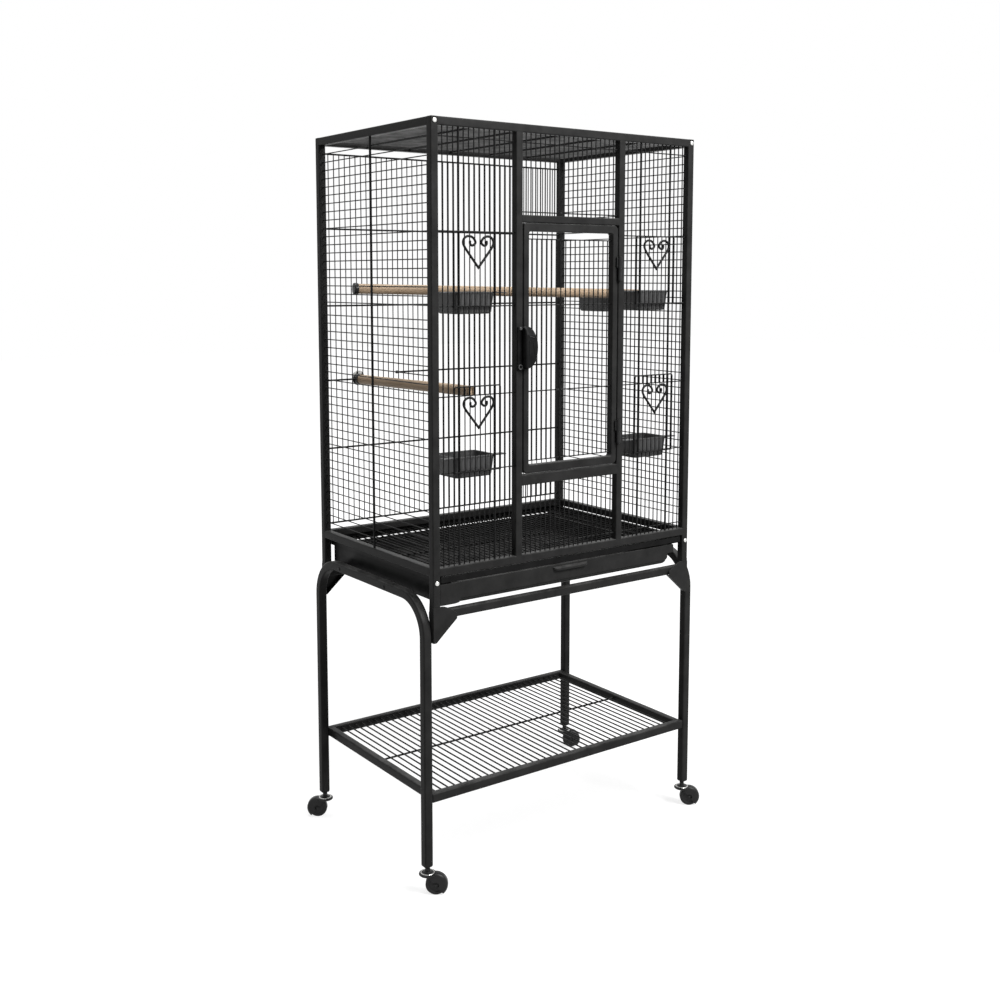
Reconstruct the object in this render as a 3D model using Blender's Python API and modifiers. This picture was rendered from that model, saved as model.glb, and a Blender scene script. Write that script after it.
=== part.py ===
"""Bird cage on a rolling stand, in metres, +Z up, +X to the viewer's right and -Y to the front.

The origin is on the floor under the middle of the cage.
"""

import math

import bmesh
import bpy
from mathutils import Matrix, Vector

# Overall sizes
cage_length = 0.620
cage_depth = 0.420
total_height = 1.380
cage_bottom = 0.530
tube = 0.015
seat_gap = 0.0003

# Cage frame
floor_rail_bottom = 0.584
upright_offset = 0.1220
header_drop = 0.172
header_height = 0.012
sill_top = 0.748
sill_height = 0.020

# Wires of the panels
wire = 0.0025
guide_wire = 0.0042
side_brace_wire = 0.0045
front_wire_inset = 0.0055
side_wire_inset = 0.0060
panel_bite = 0.0030
panel_border_bite = 0.0010
side_row_pitch = 0.048
rear_pitch = 0.054
rear_row_pitch = 0.150
roof_pitch = 0.062
roof_row_pitch = 0.097
front_pitch = 0.0270
over_door_pitch = 0.0325

# Door, hinges and latch
door_gap = 0.002
door_rail = 0.015
door_stile = 0.0125
door_corner_radius = 0.006
door_pitch = 0.0300
door_row_pitch = 0.105
hinge_radius = 0.0042
hinge_pin_radius = 0.0020
hinge_clearance = 0.0004
hinge_forward = 0.0048
hinge_half = 0.0230
hinge_leaf = 0.0070
upper_hinge_drop = 0.1060
lower_hinge_bottom = 0.7895
hinge_sides = 16
latch_middle = 0.982
latch_height = 0.077
latch_width = 0.029
latch_lap = 0.0045
latch_front = 0.0165
latch_base_thickness = 0.0030
latch_base_width = 0.0130
latch_base_corner = 0.0040
latch_base_overhang = 0.0030
latch_pivot_inset = 0.0175
latch_boss_radius = 0.0040
latch_ring_radius = 0.0045
latch_ring_height = 0.0015
latch_ring_rise = 0.0035

# Feeder openings, doors and cups
feeder_width = 0.0730
lower_feeder_bottom = 0.765
lower_feeder_height = 0.135
upper_feeder_bottom = 1.058
upper_feeder_height = 0.130
feeder_door_lap = 0.0144
feeder_door_rise_lower = 0.018
feeder_door_rise_upper = 0.004
feeder_door_drop = 0.0015
feeder_door_corner = 0.004
feeder_door_wires = 4
feeder_door_gap = 0.0010
heart_width = 0.0690
heart_height = 0.0560
heart_wire = 0.0042
heart_top_below_opening = 0.0030
heart_curl_turn = 300.0
heart_curl_shrink = 0.50
heart_curl_points = 7
cup_width = 0.088
cup_depth = 0.070
cup_height = 0.039
cup_taper = 0.0035
cup_wall = 0.0020
cup_rim = 0.0010
cup_rim_height = 0.0030
cup_corner = 0.0080
cup_wing_length = 0.024
cup_wing_depth = 0.016
cup_wing_thickness = 0.0018
lower_cup_bottom = 0.752
upper_cup_bottom = 1.044
side_cup_bottom = 1.0370
side_cup_across = 0.0140

# Perches
perch_radius = 0.0095
perch_sides = 6
cap_radius = 0.0112
cap_length = 0.0090
upper_perch_left_across = 0.085
upper_perch_left_height = 1.087
upper_perch_right_across = -0.070
upper_perch_right_height = 1.074
lower_perch_inset = 0.0875
lower_perch_front_height = 0.908
lower_perch_rear_height = 0.902

# Grate, tray and runners
sheet = 0.0015
runner_top = 0.570
runner_step = 0.0250
runner_ledge = 0.0135
runner_drop = 0.0180
runner_skirt_low = 0.5350
runner_end_gap = 0.0050
grate_side_gap = 0.0030
grate_front_back_gap = 0.0030
grate_bar_depth = 0.0060
grate_bar_height = 0.0117
grate_wire = 0.0030
grate_border = 0.0080
grate_pitch = 0.0360
grate_row_pitch = 0.190
tray_bottom = 0.530
tray_clearance = 0.0020
tray_lip_clearance = 0.0006
tray_wall = 0.0014
tray_hem_width = 0.0125
tray_corner = 0.0100
tray_panel = 0.0012
tray_wing_gap = 0.0025
pull_width = 0.084
pull_forward = 0.0080
pull_thickness = 0.0020

# Stand
leg_out = 0.0003
leg_inset = 0.0055
beam_top = 0.550
bend_radius = 0.083
crossbar_top = 0.5205
bracket_drop = 0.065
bracket_reach = 0.050
bracket_shoulder = 0.030
bracket_toe = 0.015
bracket_lip = 0.012
bracket_sheet = 0.002
shelf_bottom = 0.1705
shelf_wire = 0.003
shelf_wire_bottom = 0.0065
shelf_pitch = 0.045

# Casters
leg_bottom = 0.050
caster_stem_radius = 0.0045
caster_plate_radius = 0.0160
caster_plate_height = 0.0050
caster_plate_top = 0.0410
wheel_radius = 0.0190
wheel_width = 0.0130
wheel_clearance = 0.0012
wheel_side_gap = 0.0004
hood_wall = 0.0018
hood_cheek = 0.0022
caster_trail = 0.0150
axle_radius = 0.0020
axle_gap = 0.0004
hood_low_angle = -50.0
hood_high_angle = 133.0
hood_hub_reach = 0.0060
hood_cut_angle = 40.0
wheel_sides = 16
stem_sides = 12
plate_sides = 16
hood_steps = 10
wheel_rim = 0.0050
wheel_dish = 0.0015
wheel_round = 0.0015
front_left_heading = -36.0
front_right_heading = -36.0
rear_right_heading = -36.0
rear_left_heading = 144.0

# Screws on the front posts
screw_radius = 0.0042
screw_head = 0.0026
screw_sides = 14
top_screw_drop = 0.0075
bottom_screw_rise = 0.0430

for old in list(bpy.data.objects):
    bpy.data.objects.remove(old, do_unlink=True)

parts = bpy.data.collections.new("bird_cage_with_stand")
cutters = bpy.data.collections.new("cutters")
bpy.context.scene.collection.children.link(parts)
bpy.context.scene.collection.children.link(cutters)

left = -cage_length / 2
right = cage_length / 2
front = -cage_depth / 2
rear = cage_depth / 2

# Local X, Y and Z of a flat outline, turned onto the world's planes
on_xy = Matrix.Identity(3)
on_xz = Matrix(((1, 0, 0), (0, 0, -1), (0, 1, 0)))
on_yz = Matrix(((0, 0, 1), (1, 0, 0), (0, 1, 0)))


def make_material(name, color, roughness, metallic):
    material = bpy.data.materials.new(name)
    material.use_nodes = True
    shader = material.node_tree.nodes["Principled BSDF"]
    shader.inputs["Base Color"].default_value = (*color, 1.0)
    shader.inputs["Roughness"].default_value = roughness
    shader.inputs["Metallic"].default_value = metallic
    return material


powder_coat = make_material("powder_coat", (0.045, 0.045, 0.047), 0.55, 0.0)
cup_plastic = make_material("cup_plastic", (0.060, 0.060, 0.064), 0.50, 0.0)
black_plastic = make_material("black_plastic", (0.020, 0.020, 0.021), 0.45, 0.0)
perch_wood = make_material("perch_wood", (0.560, 0.380, 0.230), 0.65, 0.0)
zinc = make_material("zinc", (0.720, 0.720, 0.700), 0.30, 1.0)


def add_object(name, data, material, group):
    obj = bpy.data.objects.new(name, data)
    group.objects.link(obj)
    obj.data.materials.append(material)
    if group == cutters:
        obj.hide_render = True
        obj.display_type = "WIRE"
    return obj


def box(name, low, high, material, group=parts):
    """A box between two corners, with its origin at its middle."""
    low = Vector(low)
    high = Vector(high)
    shape = bmesh.new()
    bmesh.ops.create_cube(shape, size=1.0)
    bmesh.ops.scale(shape, vec=high - low, verts=shape.verts)
    mesh = bpy.data.meshes.new(name)
    shape.to_mesh(mesh)
    shape.free()
    obj = add_object(name, mesh, material, group)
    obj.location = (low + high) / 2
    return obj


def cylinder(name, start, end, radius, sides, material, group=parts):
    """A round bar between two points, with its origin at its middle."""
    start = Vector(start)
    end = Vector(end)
    shape = bmesh.new()
    bmesh.ops.create_cone(
        shape, cap_ends=True, segments=sides, radius1=radius, radius2=radius,
        depth=(end - start).length,
    )
    bmesh.ops.rotate(
        shape, verts=shape.verts, cent=(0, 0, 0),
        matrix=(end - start).to_track_quat("Z", "Y").to_matrix(),
    )
    mesh = bpy.data.meshes.new(name)
    shape.to_mesh(mesh)
    shape.free()
    mesh.shade_smooth()
    mesh.set_sharp_from_angle(angle=math.radians(40))
    obj = add_object(name, mesh, material, group)
    obj.location = (start + end) / 2
    return obj


def plate(name, loops, plane, middle, thickness, material, group=parts):
    """A flat outline with holes, given in two of the world's axes and centred on a level of the third."""
    curve = bpy.data.curves.new(name, "CURVE")
    curve.dimensions = "2D"
    curve.fill_mode = "BOTH"
    curve.extrude = thickness / 2
    for loop in loops:
        spline = curve.splines.new("POLY")
        spline.points.add(len(loop) - 1)
        for point, (u, v) in zip(spline.points, loop):
            point.co = (u, v, 0, 1)
        spline.use_cyclic_u = True
    obj = add_object(name, curve, material, group)
    obj.rotation_euler = plane.to_euler()
    obj.location = Vector(middle)
    return obj


def wire_along(name, points, radius, resolution, material, group=parts, closed=False):
    """A round wire through a row of points."""
    curve = bpy.data.curves.new(name, "CURVE")
    curve.dimensions = "3D"
    curve.bevel_depth = radius
    curve.bevel_resolution = resolution
    curve.use_fill_caps = not closed
    spline = curve.splines.new("POLY")
    spline.points.add(len(points) - 1)
    for point, place in zip(spline.points, points):
        point.co = (*place, 1)
    spline.use_cyclic_u = closed
    return add_object(name, curve, material, group)


def as_mesh(obj, group=parts):
    """The curve object as a mesh with its caps welded on."""
    name = obj.name
    material = obj.data.materials[0]
    bpy.context.view_layer.update()
    graph = bpy.context.evaluated_depsgraph_get()
    mesh = bpy.data.meshes.new_from_object(obj.evaluated_get(graph))
    place = obj.matrix_world.copy()
    bpy.data.objects.remove(obj, do_unlink=True)
    shape = bmesh.new()
    shape.from_mesh(mesh)
    bmesh.ops.remove_doubles(shape, verts=shape.verts, dist=2e-5)
    bmesh.ops.recalc_face_normals(shape, faces=shape.faces)
    shape.to_mesh(mesh)
    shape.free()
    mesh.name = name
    mesh.materials.clear()
    solid = add_object(name, mesh, material, group)
    solid.matrix_world = place
    return solid


def combine(base, others, operation="UNION"):
    """Joins the others to the base, or cuts them from it."""
    for other in others:
        change = base.modifiers.new(other.name, "BOOLEAN")
        change.operation = operation
        change.solver = "EXACT"
        change.object = other
    return base


def rectangle(low_u, high_u, low_v, high_v):
    return [(low_u, low_v), (high_u, low_v), (high_u, high_v), (low_u, high_v)]


def arc(center_u, center_v, radius, first, last, steps):
    """Points on an arc, angles in degrees from the first axis."""
    return [
        (
            center_u + radius * math.cos(math.radians(first + (last - first) * i / steps)),
            center_v + radius * math.sin(math.radians(first + (last - first) * i / steps)),
        )
        for i in range(steps + 1)
    ]


def rounded_rectangle(low_u, high_u, low_v, high_v, radius, steps=3):
    return (
        arc(high_u - radius, high_v - radius, radius, 0, 90, steps)
        + arc(low_u + radius, high_v - radius, radius, 90, 180, steps)
        + arc(low_u + radius, low_v + radius, radius, 180, 270, steps)
        + arc(high_u - radius, low_v + radius, radius, 270, 360, steps)
    )


def spread(low, high, pitch):
    """Middles of the wires that split a stretch into even gaps of about one pitch."""
    count = max(1, round((high - low) / pitch))
    return [low + (high - low) * i / count for i in range(1, count)]


def wire_grid(
    name, outer, inner, u_wires, v_wires, plane, middle, thickness, material, group=parts, is_open=None
):
    """A flat grid: a border between two rectangles and wires across it, each a middle and a width.

    Rectangles are (low u, high u, low v, high v). is_open says where an opening leaves out wires too.
    """

    def lines(outer_low, inner_low, inner_high, outer_high, wires):
        found = [outer_low, inner_low]
        for wire_middle, width in sorted(wires):
            found += [wire_middle - width / 2, wire_middle + width / 2]
        return found + [inner_high, outer_high]

    u_lines = lines(outer[0], inner[0], inner[1], outer[1], u_wires)
    v_lines = lines(outer[2], inner[2], inner[3], outer[3], v_wires)
    u_steps = len(u_lines) - 1
    v_steps = len(v_lines) - 1
    shape = bmesh.new()
    bmesh.ops.create_grid(shape, x_segments=u_steps, y_segments=v_steps, size=1.0)
    gaps = []
    for face in shape.faces:
        across = face.calc_center_median()
        column = int((across.x + 1) / 2 * u_steps)
        row = int((across.y + 1) / 2 * v_steps)
        is_gap = column % 2 == 1 and row % 2 == 1
        if is_open is not None:
            u = (u_lines[column] + u_lines[column + 1]) / 2
            v = (v_lines[row] + v_lines[row + 1]) / 2
            is_gap = is_gap or is_open(u, v)
        if is_gap:
            gaps.append(face)
    for vert in shape.verts:
        column = round((vert.co.x + 1) / 2 * u_steps)
        row = round((vert.co.y + 1) / 2 * v_steps)
        vert.co = (u_lines[column], v_lines[row], -thickness / 2)
    bmesh.ops.delete(shape, geom=gaps, context="FACES")
    raised = bmesh.ops.extrude_face_region(shape, geom=shape.faces[:], use_keep_orig=True)
    upper = [item for item in raised["geom"] if isinstance(item, bmesh.types.BMVert)]
    bmesh.ops.translate(shape, vec=(0, 0, thickness), verts=upper)
    bmesh.ops.recalc_face_normals(shape, faces=shape.faces)
    mesh = bpy.data.meshes.new(name)
    shape.to_mesh(mesh)
    shape.free()
    obj = add_object(name, mesh, material, group)
    obj.rotation_euler = plane.to_euler()
    obj.location = Vector(middle)
    return obj


def grown(low_u, high_u, low_v, high_v, by_u, by_v):
    """The rectangle with each side moved out."""
    return (low_u - by_u, high_u + by_u, low_v - by_v, high_v + by_v)


# Side panels: posts, rails, cross wires and an upright brace wire welded into one piece
rail_low = floor_rail_bottom
rail_high = floor_rail_bottom + tube
top_rail_low = total_height - tube


def side_panel(name, outer_x, inward):
    frame_outline = [
        (front, cage_bottom), (front + tube, cage_bottom), (front + tube, rail_low),
        (rear - tube, rail_low), (rear - tube, cage_bottom), (rear, cage_bottom),
        (rear, total_height), (front, total_height),
    ]
    window = rectangle(front + tube, rear - tube, rail_high, top_rail_low)
    frame = plate(
        name, [frame_outline, window], on_yz, (outer_x + inward * tube / 2, 0, 0), tube, powder_coat
    )
    frame = as_mesh(frame)
    window_sides = (front + tube, rear - tube, rail_high, top_rail_low)
    inner = grown(*window_sides, panel_border_bite, panel_border_bite)
    columns = [((inner[0] + inner[1]) / 2, side_brace_wire)]
    rows = [(z, wire) for z in spread(inner[2], inner[3], side_row_pitch)]
    grid = wire_grid(
        name + "_grid", grown(*window_sides, panel_bite, panel_bite), inner, columns, rows,
        on_yz, (outer_x + inward * (side_wire_inset + wire / 2), 0, 0), wire, powder_coat, cutters,
    )
    return combine(frame, [grid])


side_panel("left_side_panel", left, 1)
side_panel("right_side_panel", right, -1)

# Front frame: rails, uprights, header and sill
bay_left = left + tube + seat_gap
bay_right = right - tube - seat_gap
door_bay_left = -upright_offset + tube / 2
door_bay_right = upright_offset - tube / 2
feeder_center = (door_bay_right + tube + seat_gap + bay_right) / 2
front_middle = front + tube / 2

front_outline = [
    (bay_left, rail_low), (bay_right, rail_low), (bay_right, rail_high),
    (door_bay_right + tube, rail_high), (door_bay_right + tube, top_rail_low), (bay_right, top_rail_low),
    (bay_right, total_height), (bay_left, total_height), (bay_left, top_rail_low),
    (door_bay_left - tube, top_rail_low), (door_bay_left - tube, rail_high), (bay_left, rail_high),
]
header_bottom = total_height - header_drop
header_top = header_bottom + header_height
sill_bottom = sill_top - sill_height
plate(
    "front_frame",
    [
        front_outline,
        rectangle(door_bay_left, door_bay_right, header_top, top_rail_low),
        rectangle(door_bay_left, door_bay_right, sill_top, header_bottom),
        rectangle(door_bay_left, door_bay_right, rail_high, sill_bottom),
    ],
    on_xz, (0, front_middle, 0), tube, powder_coat,
)

# Front wire fields, a little behind the face of the tubes
front_wire_middle = front + front_wire_inset + wire / 2
lower_feeder = (lower_feeder_bottom, lower_feeder_bottom + lower_feeder_height)
upper_feeder = (upper_feeder_bottom, upper_feeder_bottom + upper_feeder_height)


def in_feeder(x, z, center):
    beside = abs(x - center) < feeder_width / 2
    return beside and (lower_feeder[0] < z < lower_feeder[1] or upper_feeder[0] < z < upper_feeder[1])


def feeder_field(name, low_x, high_x, center):
    """A wire field with two feeder openings between its guide wires."""
    outer = (low_x, high_x, rail_high + seat_gap, top_rail_low - seat_gap)
    inner = grown(*outer, -wire, -wire)
    guide_reach = (feeder_width + guide_wire) / 2
    low_guide = center - guide_reach
    high_guide = center + guide_reach
    columns = [(x, wire) for x in spread(inner[0], low_guide, front_pitch)]
    columns += [(x, wire) for x in spread(low_guide, high_guide, front_pitch)]
    columns += [(x, wire) for x in spread(high_guide, inner[1], front_pitch)]
    columns += [(low_guide, guide_wire), (high_guide, guide_wire)]
    rows = []
    for opening in (lower_feeder, upper_feeder):
        rows += [(opening[0] - wire / 2, wire), (opening[1] + wire / 2, wire)]
    wire_grid(
        name, outer, inner, columns, rows, on_xz, (0, front_wire_middle, 0), wire, powder_coat,
        is_open=lambda x, z: in_feeder(x, z, center),
    )


feeder_field("front_wires_left", bay_left, door_bay_left - tube - seat_gap, -feeder_center)
feeder_field("front_wires_right", door_bay_right + tube + seat_gap, bay_right, feeder_center)


def plain_field(name, low_z, high_z):
    """A wire field of upright wires over or under the door."""
    outer = grown(door_bay_left, door_bay_right, low_z, high_z, -seat_gap, -seat_gap)
    inner = grown(*outer, -wire, -wire)
    columns = [(x, wire) for x in spread(inner[0], inner[1], over_door_pitch)]
    wire_grid(name, outer, inner, columns, [], on_xz, (0, front_wire_middle, 0), wire, powder_coat)


plain_field("front_wires_over_door", header_top, top_rail_low)
plain_field("front_wires_under_door", rail_high, sill_bottom)


# Rear panel: two rails and a wire grid
def rear_panel():
    rear_wire_middle = rear - front_wire_inset - wire / 2
    top_rail = box(
        "rear_panel", (bay_left, rear - tube, top_rail_low), (bay_right, rear, total_height), powder_coat
    )
    bottom_rail = box(
        "rear_bottom_rail", (bay_left, rear - tube, rail_low), (bay_right, rear, rail_high),
        powder_coat, cutters,
    )
    window_sides = (bay_left, bay_right, rail_high, top_rail_low)
    inner = grown(*window_sides, -wire, panel_border_bite)
    columns = [(x, wire) for x in spread(inner[0], inner[1], rear_pitch)]
    rows = [(z, wire) for z in spread(rail_high, top_rail_low, rear_row_pitch)]
    grid = wire_grid(
        "rear_grid", grown(*window_sides, 0, panel_bite), inner, columns, rows, on_xz,
        (0, rear_wire_middle, 0), wire, powder_coat, cutters,
    )
    combine(top_rail, [bottom_rail, grid])


rear_panel()


# Roof panel: a wire grid between the four top rails
def roof_panel():
    outer = grown(left + tube, right - tube, front + tube, rear - tube, -seat_gap, -seat_gap)
    inner = grown(*outer, -wire, -wire)
    columns = [(x, guide_wire) for x in spread(inner[0], inner[1], roof_pitch)]
    rows = [(y, wire) for y in spread(inner[2], inner[3], roof_row_pitch)]
    wire_grid(
        "roof_panel", outer, inner, columns, rows, on_xy, (0, 0, total_height - tube / 2), wire, powder_coat
    )


roof_panel()

# Door: rounded frame with its wires, hinged on the right
door_low_x = door_bay_left + door_gap
door_high_x = door_bay_right - door_gap
door_low_z = sill_top + door_gap
door_high_z = header_bottom - door_gap
hinge_x = (door_high_x + door_bay_right) / 2
hinge_y = front - hinge_forward


def door_panel():
    frame = plate(
        "door",
        [
            rounded_rectangle(door_low_x, door_high_x, door_low_z, door_high_z, door_corner_radius),
            rectangle(
                door_low_x + door_stile, door_high_x - door_stile,
                door_low_z + door_rail, door_high_z - door_rail,
            ),
        ],
        on_xz, (0, front_middle, 0), tube, powder_coat,
    )
    frame = as_mesh(frame)
    window_sides = (
        door_low_x + door_stile, door_high_x - door_stile, door_low_z + door_rail, door_high_z - door_rail
    )
    inner = grown(*window_sides, panel_border_bite, panel_border_bite)
    grid = wire_grid(
        "door_grid", grown(*window_sides, panel_bite, panel_bite), inner,
        [(x, wire) for x in spread(window_sides[0], window_sides[1], door_pitch)],
        [(z, wire) for z in spread(window_sides[2], window_sides[3], door_row_pitch)],
        on_xz, (0, front_wire_middle, 0), wire, powder_coat, cutters,
    )
    combine(frame, [grid])
    pivot = Vector((hinge_x, hinge_y, 0))
    frame.data.transform(Matrix.Translation(-pivot) @ frame.matrix_world)
    frame.matrix_world = Matrix.Translation(pivot)


door_panel()


# Hinges: a fixed knuckle with its pin below, a sleeve on the door above
def hinge(name, low_z):
    knuckle_top = low_z + hinge_half
    sleeve_low = knuckle_top + hinge_clearance
    sleeve_top = sleeve_low + hinge_half
    knuckle = cylinder(
        name + "_knuckle", (hinge_x, hinge_y, low_z), (hinge_x, hinge_y, knuckle_top),
        hinge_radius, hinge_sides, black_plastic,
    )
    pin = cylinder(
        name + "_pin", (hinge_x, hinge_y, low_z + hinge_half / 2), (hinge_x, hinge_y, sleeve_top),
        hinge_pin_radius, hinge_sides, black_plastic, cutters,
    )
    leaf = box(
        name + "_fixed_leaf", (hinge_x, hinge_y, low_z + sheet),
        (hinge_x + hinge_leaf, front - seat_gap, knuckle_top - sheet), black_plastic, cutters,
    )
    combine(knuckle, [pin, leaf])
    sleeve = cylinder(
        name + "_sleeve", (hinge_x, hinge_y, sleeve_low), (hinge_x, hinge_y, sleeve_top),
        hinge_radius, hinge_sides, black_plastic,
    )
    door_leaf = box(
        name + "_door_leaf", (hinge_x - hinge_leaf, hinge_y, sleeve_low + sheet),
        (hinge_x, front - seat_gap, sleeve_top - sheet), black_plastic, cutters,
    )
    bore = cylinder(
        name + "_bore", (hinge_x, hinge_y, sleeve_low - tube), (hinge_x, hinge_y, sleeve_top + tube),
        hinge_pin_radius + hinge_clearance, hinge_sides, black_plastic, cutters,
    )
    combine(sleeve, [door_leaf])
    combine(sleeve, [bore], "DIFFERENCE")


hinge("lower_hinge", lower_hinge_bottom)
hinge("upper_hinge", header_bottom - upper_hinge_drop)

# Latch: a base on the left upright, a half-moon lever that turns on the door's stile
latch_left = door_bay_left - latch_lap
latch_x = latch_left + latch_pivot_inset
latch_low = latch_middle - latch_height / 2
latch_high = latch_middle + latch_height / 2
latch_base_front = front - seat_gap - latch_base_thickness
latch_back_y = latch_base_front - latch_ring_height - seat_gap


def latch():
    base_right = door_bay_left - seat_gap
    base_left = base_right - latch_base_width
    base = plate(
        "latch_base",
        [
            rounded_rectangle(
                base_left, base_right,
                latch_low - latch_base_overhang, latch_high, latch_base_corner,
            )
        ],
        on_xz, (0, front - seat_gap - latch_base_thickness / 2, 0), latch_base_thickness, black_plastic,
    )
    ring_x = base_left + latch_ring_radius
    ring_z = latch_low + latch_ring_rise
    ring = cylinder(
        "latch_ring", (ring_x, latch_base_front + latch_base_thickness / 2, ring_z),
        (ring_x, latch_base_front - latch_ring_height, ring_z),
        latch_ring_radius, screw_sides, black_plastic, cutters,
    )
    combine(as_mesh(base), [ring])

    moon = [(latch_left, latch_high), (latch_left, latch_low)]
    moon += [
        (
            latch_left + latch_width * math.cos(math.radians(angle)),
            latch_middle + latch_height / 2 * math.sin(math.radians(angle)),
        )
        for angle in range(-75, 76, 15)
    ]
    lever_depth = latch_front - (front - latch_back_y)
    lever = as_mesh(
        plate(
            "latch_lever", [moon], on_xz, (0, latch_back_y - lever_depth / 2, 0), lever_depth, black_plastic
        )
    )
    boss = cylinder(
        "latch_boss", (latch_x, latch_back_y - lever_depth / 2, latch_middle),
        (latch_x, front - seat_gap, latch_middle), latch_boss_radius, screw_sides, black_plastic, cutters,
    )
    combine(lever, [boss])
    pivot = Vector((latch_x, latch_back_y, latch_middle))
    lever.data.transform(Matrix.Translation(-pivot) @ lever.matrix_world)
    lever.matrix_world = Matrix.Translation(pivot)


latch()

# Feeder doors: wire doors with a heart, sliding up in front of the guide wires
feeder_door_middle = front + front_wire_inset - feeder_door_gap - wire / 2


def heart_points(center, top):
    """Two lobes that curl in to small scrolls and run down to one point, from scroll to scroll."""
    reach = (heart_width - heart_wire) / 2
    lobe = (reach - heart_wire) / 2
    lobe_z = top - heart_wire / 2 - lobe
    tip = top - heart_height + heart_wire / 2
    curl = []
    for i in range(heart_curl_points + 1):
        turned = heart_curl_turn * i / heart_curl_points
        shrink = 1 - heart_curl_shrink * max(0, turned - 180) / (heart_curl_turn - 180)
        angle = math.radians(turned)
        curl.append((reach - lobe + lobe * shrink * math.cos(angle), lobe_z + lobe * shrink * math.sin(angle)))
    right_side = [(0, tip)] + curl
    left_side = [(-x, z) for x, z in reversed(curl)]
    return [(center + x, z) for x, z in left_side + right_side]


def feeder_door(name, center, opening, rise):
    low_x = center - feeder_width / 2 - feeder_door_lap
    high_x = center + feeder_width / 2 + feeder_door_lap
    low_z = opening[0] - feeder_door_drop
    high_z = opening[1] + rise
    outline = [(low_x, low_z), (high_x, low_z)]
    outline += arc(high_x - feeder_door_corner, high_z - feeder_door_corner, feeder_door_corner, 0, 90, 3)
    outline += arc(low_x + feeder_door_corner, high_z - feeder_door_corner, feeder_door_corner, 90, 180, 3)
    loops = [outline]
    gap_count = feeder_door_wires + 1
    gap_width = (high_x - low_x - wire * (gap_count + 1)) / gap_count
    for i in range(gap_count):
        gap_low = low_x + wire + i * (gap_width + wire)
        corner_drop = feeder_door_corner / 2 if i in (0, gap_count - 1) else 0
        loops.append(rectangle(gap_low, gap_low + gap_width, low_z + wire, high_z - wire - corner_drop))
    door = as_mesh(
        plate(name, loops, on_xz, (0, feeder_door_middle, 0), wire, powder_coat)
    )
    heart_y = feeder_door_middle - wire / 2 - heart_wire / 2 + heart_wire / 4
    heart = wire_along(
        name + "_heart",
        [(x, heart_y, z) for x, z in heart_points(center, opening[1] - heart_top_below_opening)],
        heart_wire / 2, 0, powder_coat, cutters,
    )
    combine(door, [as_mesh(heart, cutters)])


for side_name, side_center in (("left", -feeder_center), ("right", feeder_center)):
    feeder_door("lower_feeder_door_" + side_name, side_center, lower_feeder, feeder_door_rise_lower)
    feeder_door("upper_feeder_door_" + side_name, side_center, upper_feeder, feeder_door_rise_upper)


# Cups: tapered open boxes with a rim and two side wings
def cup_mesh():
    """A cup with its front face at y = 0, its floor at z = 0 and its middle at x = 0."""

    def tapered(name, inset, low_z, high_z):
        shape = bmesh.new()
        bmesh.ops.create_cube(shape, size=1.0)
        width = cup_width - 2 * inset
        depth = cup_depth - 2 * inset
        bmesh.ops.scale(shape, vec=(width, depth, high_z - low_z), verts=shape.verts)
        bmesh.ops.translate(shape, vec=(0, cup_depth / 2, (low_z + high_z) / 2), verts=shape.verts)
        corners = [
            edge for edge in shape.edges
            if abs(edge.verts[0].co.z - edge.verts[1].co.z) > cup_wall
        ]
        bmesh.ops.bevel(
            shape, geom=corners, offset=cup_corner - inset, segments=2, affect="EDGES",
            clamp_overlap=True,
        )
        for vert in shape.verts:
            share = 1 - cup_taper * (high_z - vert.co.z) / cup_height / (cup_width / 2)
            vert.co.x *= share
            vert.co.y = cup_depth / 2 + (vert.co.y - cup_depth / 2) * share
        mesh = bpy.data.meshes.new(name)
        shape.to_mesh(mesh)
        shape.free()
        return add_object(name, mesh, cup_plastic, cutters)

    body = tapered("cup_body", 0.0, 0.0, cup_height)
    hollow = tapered("cup_hollow", cup_wall, cup_wall, cup_height + cup_wall)
    rim_low = cup_height - cup_rim_height
    rim = plate(
        "cup_rim",
        [rounded_rectangle(
            -cup_width / 2 - cup_rim, cup_width / 2 + cup_rim, 0, cup_depth + cup_rim,
            cup_corner, 2,
        )],
        on_xy, (0, 0, (rim_low + cup_height) / 2), cup_rim_height, cup_plastic, cutters,
    )
    wing_low = (rim_low + cup_height - cup_wing_thickness) / 2
    wings = box(
        "cup_wings", (-cup_width / 2 - cup_wing_length, 0, wing_low),
        (cup_width / 2 + cup_wing_length, cup_wing_depth, wing_low + cup_wing_thickness),
        cup_plastic, cutters,
    )
    combine(body, [as_mesh(rim, cutters), wings])
    combine(body, [hollow], "DIFFERENCE")
    bpy.context.view_layer.update()
    graph = bpy.context.evaluated_depsgraph_get()
    mesh = bpy.data.meshes.new_from_object(body.evaluated_get(graph))
    mesh.name = "cup"
    return mesh


cup_shape = cup_mesh()
cup_front_y = front_wire_middle + wire / 2 + seat_gap


def cup(name, place, turn=0.0):
    obj = bpy.data.objects.new(name, cup_shape)
    parts.objects.link(obj)
    obj.location = place
    obj.rotation_euler = (0, 0, turn)


for side_name, side_center in (("left", -feeder_center), ("right", feeder_center)):
    cup("lower_cup_" + side_name, (side_center, cup_front_y, lower_cup_bottom))
    cup("upper_cup_" + side_name, (side_center, cup_front_y, upper_cup_bottom))
side_inner_right = right - side_wire_inset - wire - seat_gap
cup("side_cup", (side_inner_right, side_cup_across, side_cup_bottom), math.pi / 2)


# Perches: wooden dowels with a black cap at one end
def perch(name, capped_end, bare_end):
    capped_end = Vector(capped_end)
    along = (Vector(bare_end) - capped_end).normalized()
    cap_face = capped_end + along * cap_length
    wire_along(name, [cap_face + along * seat_gap, bare_end], perch_radius, perch_sides, perch_wood)
    wire_along(name + "_cap", [capped_end, cap_face], cap_radius, perch_sides, black_plastic)


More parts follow.
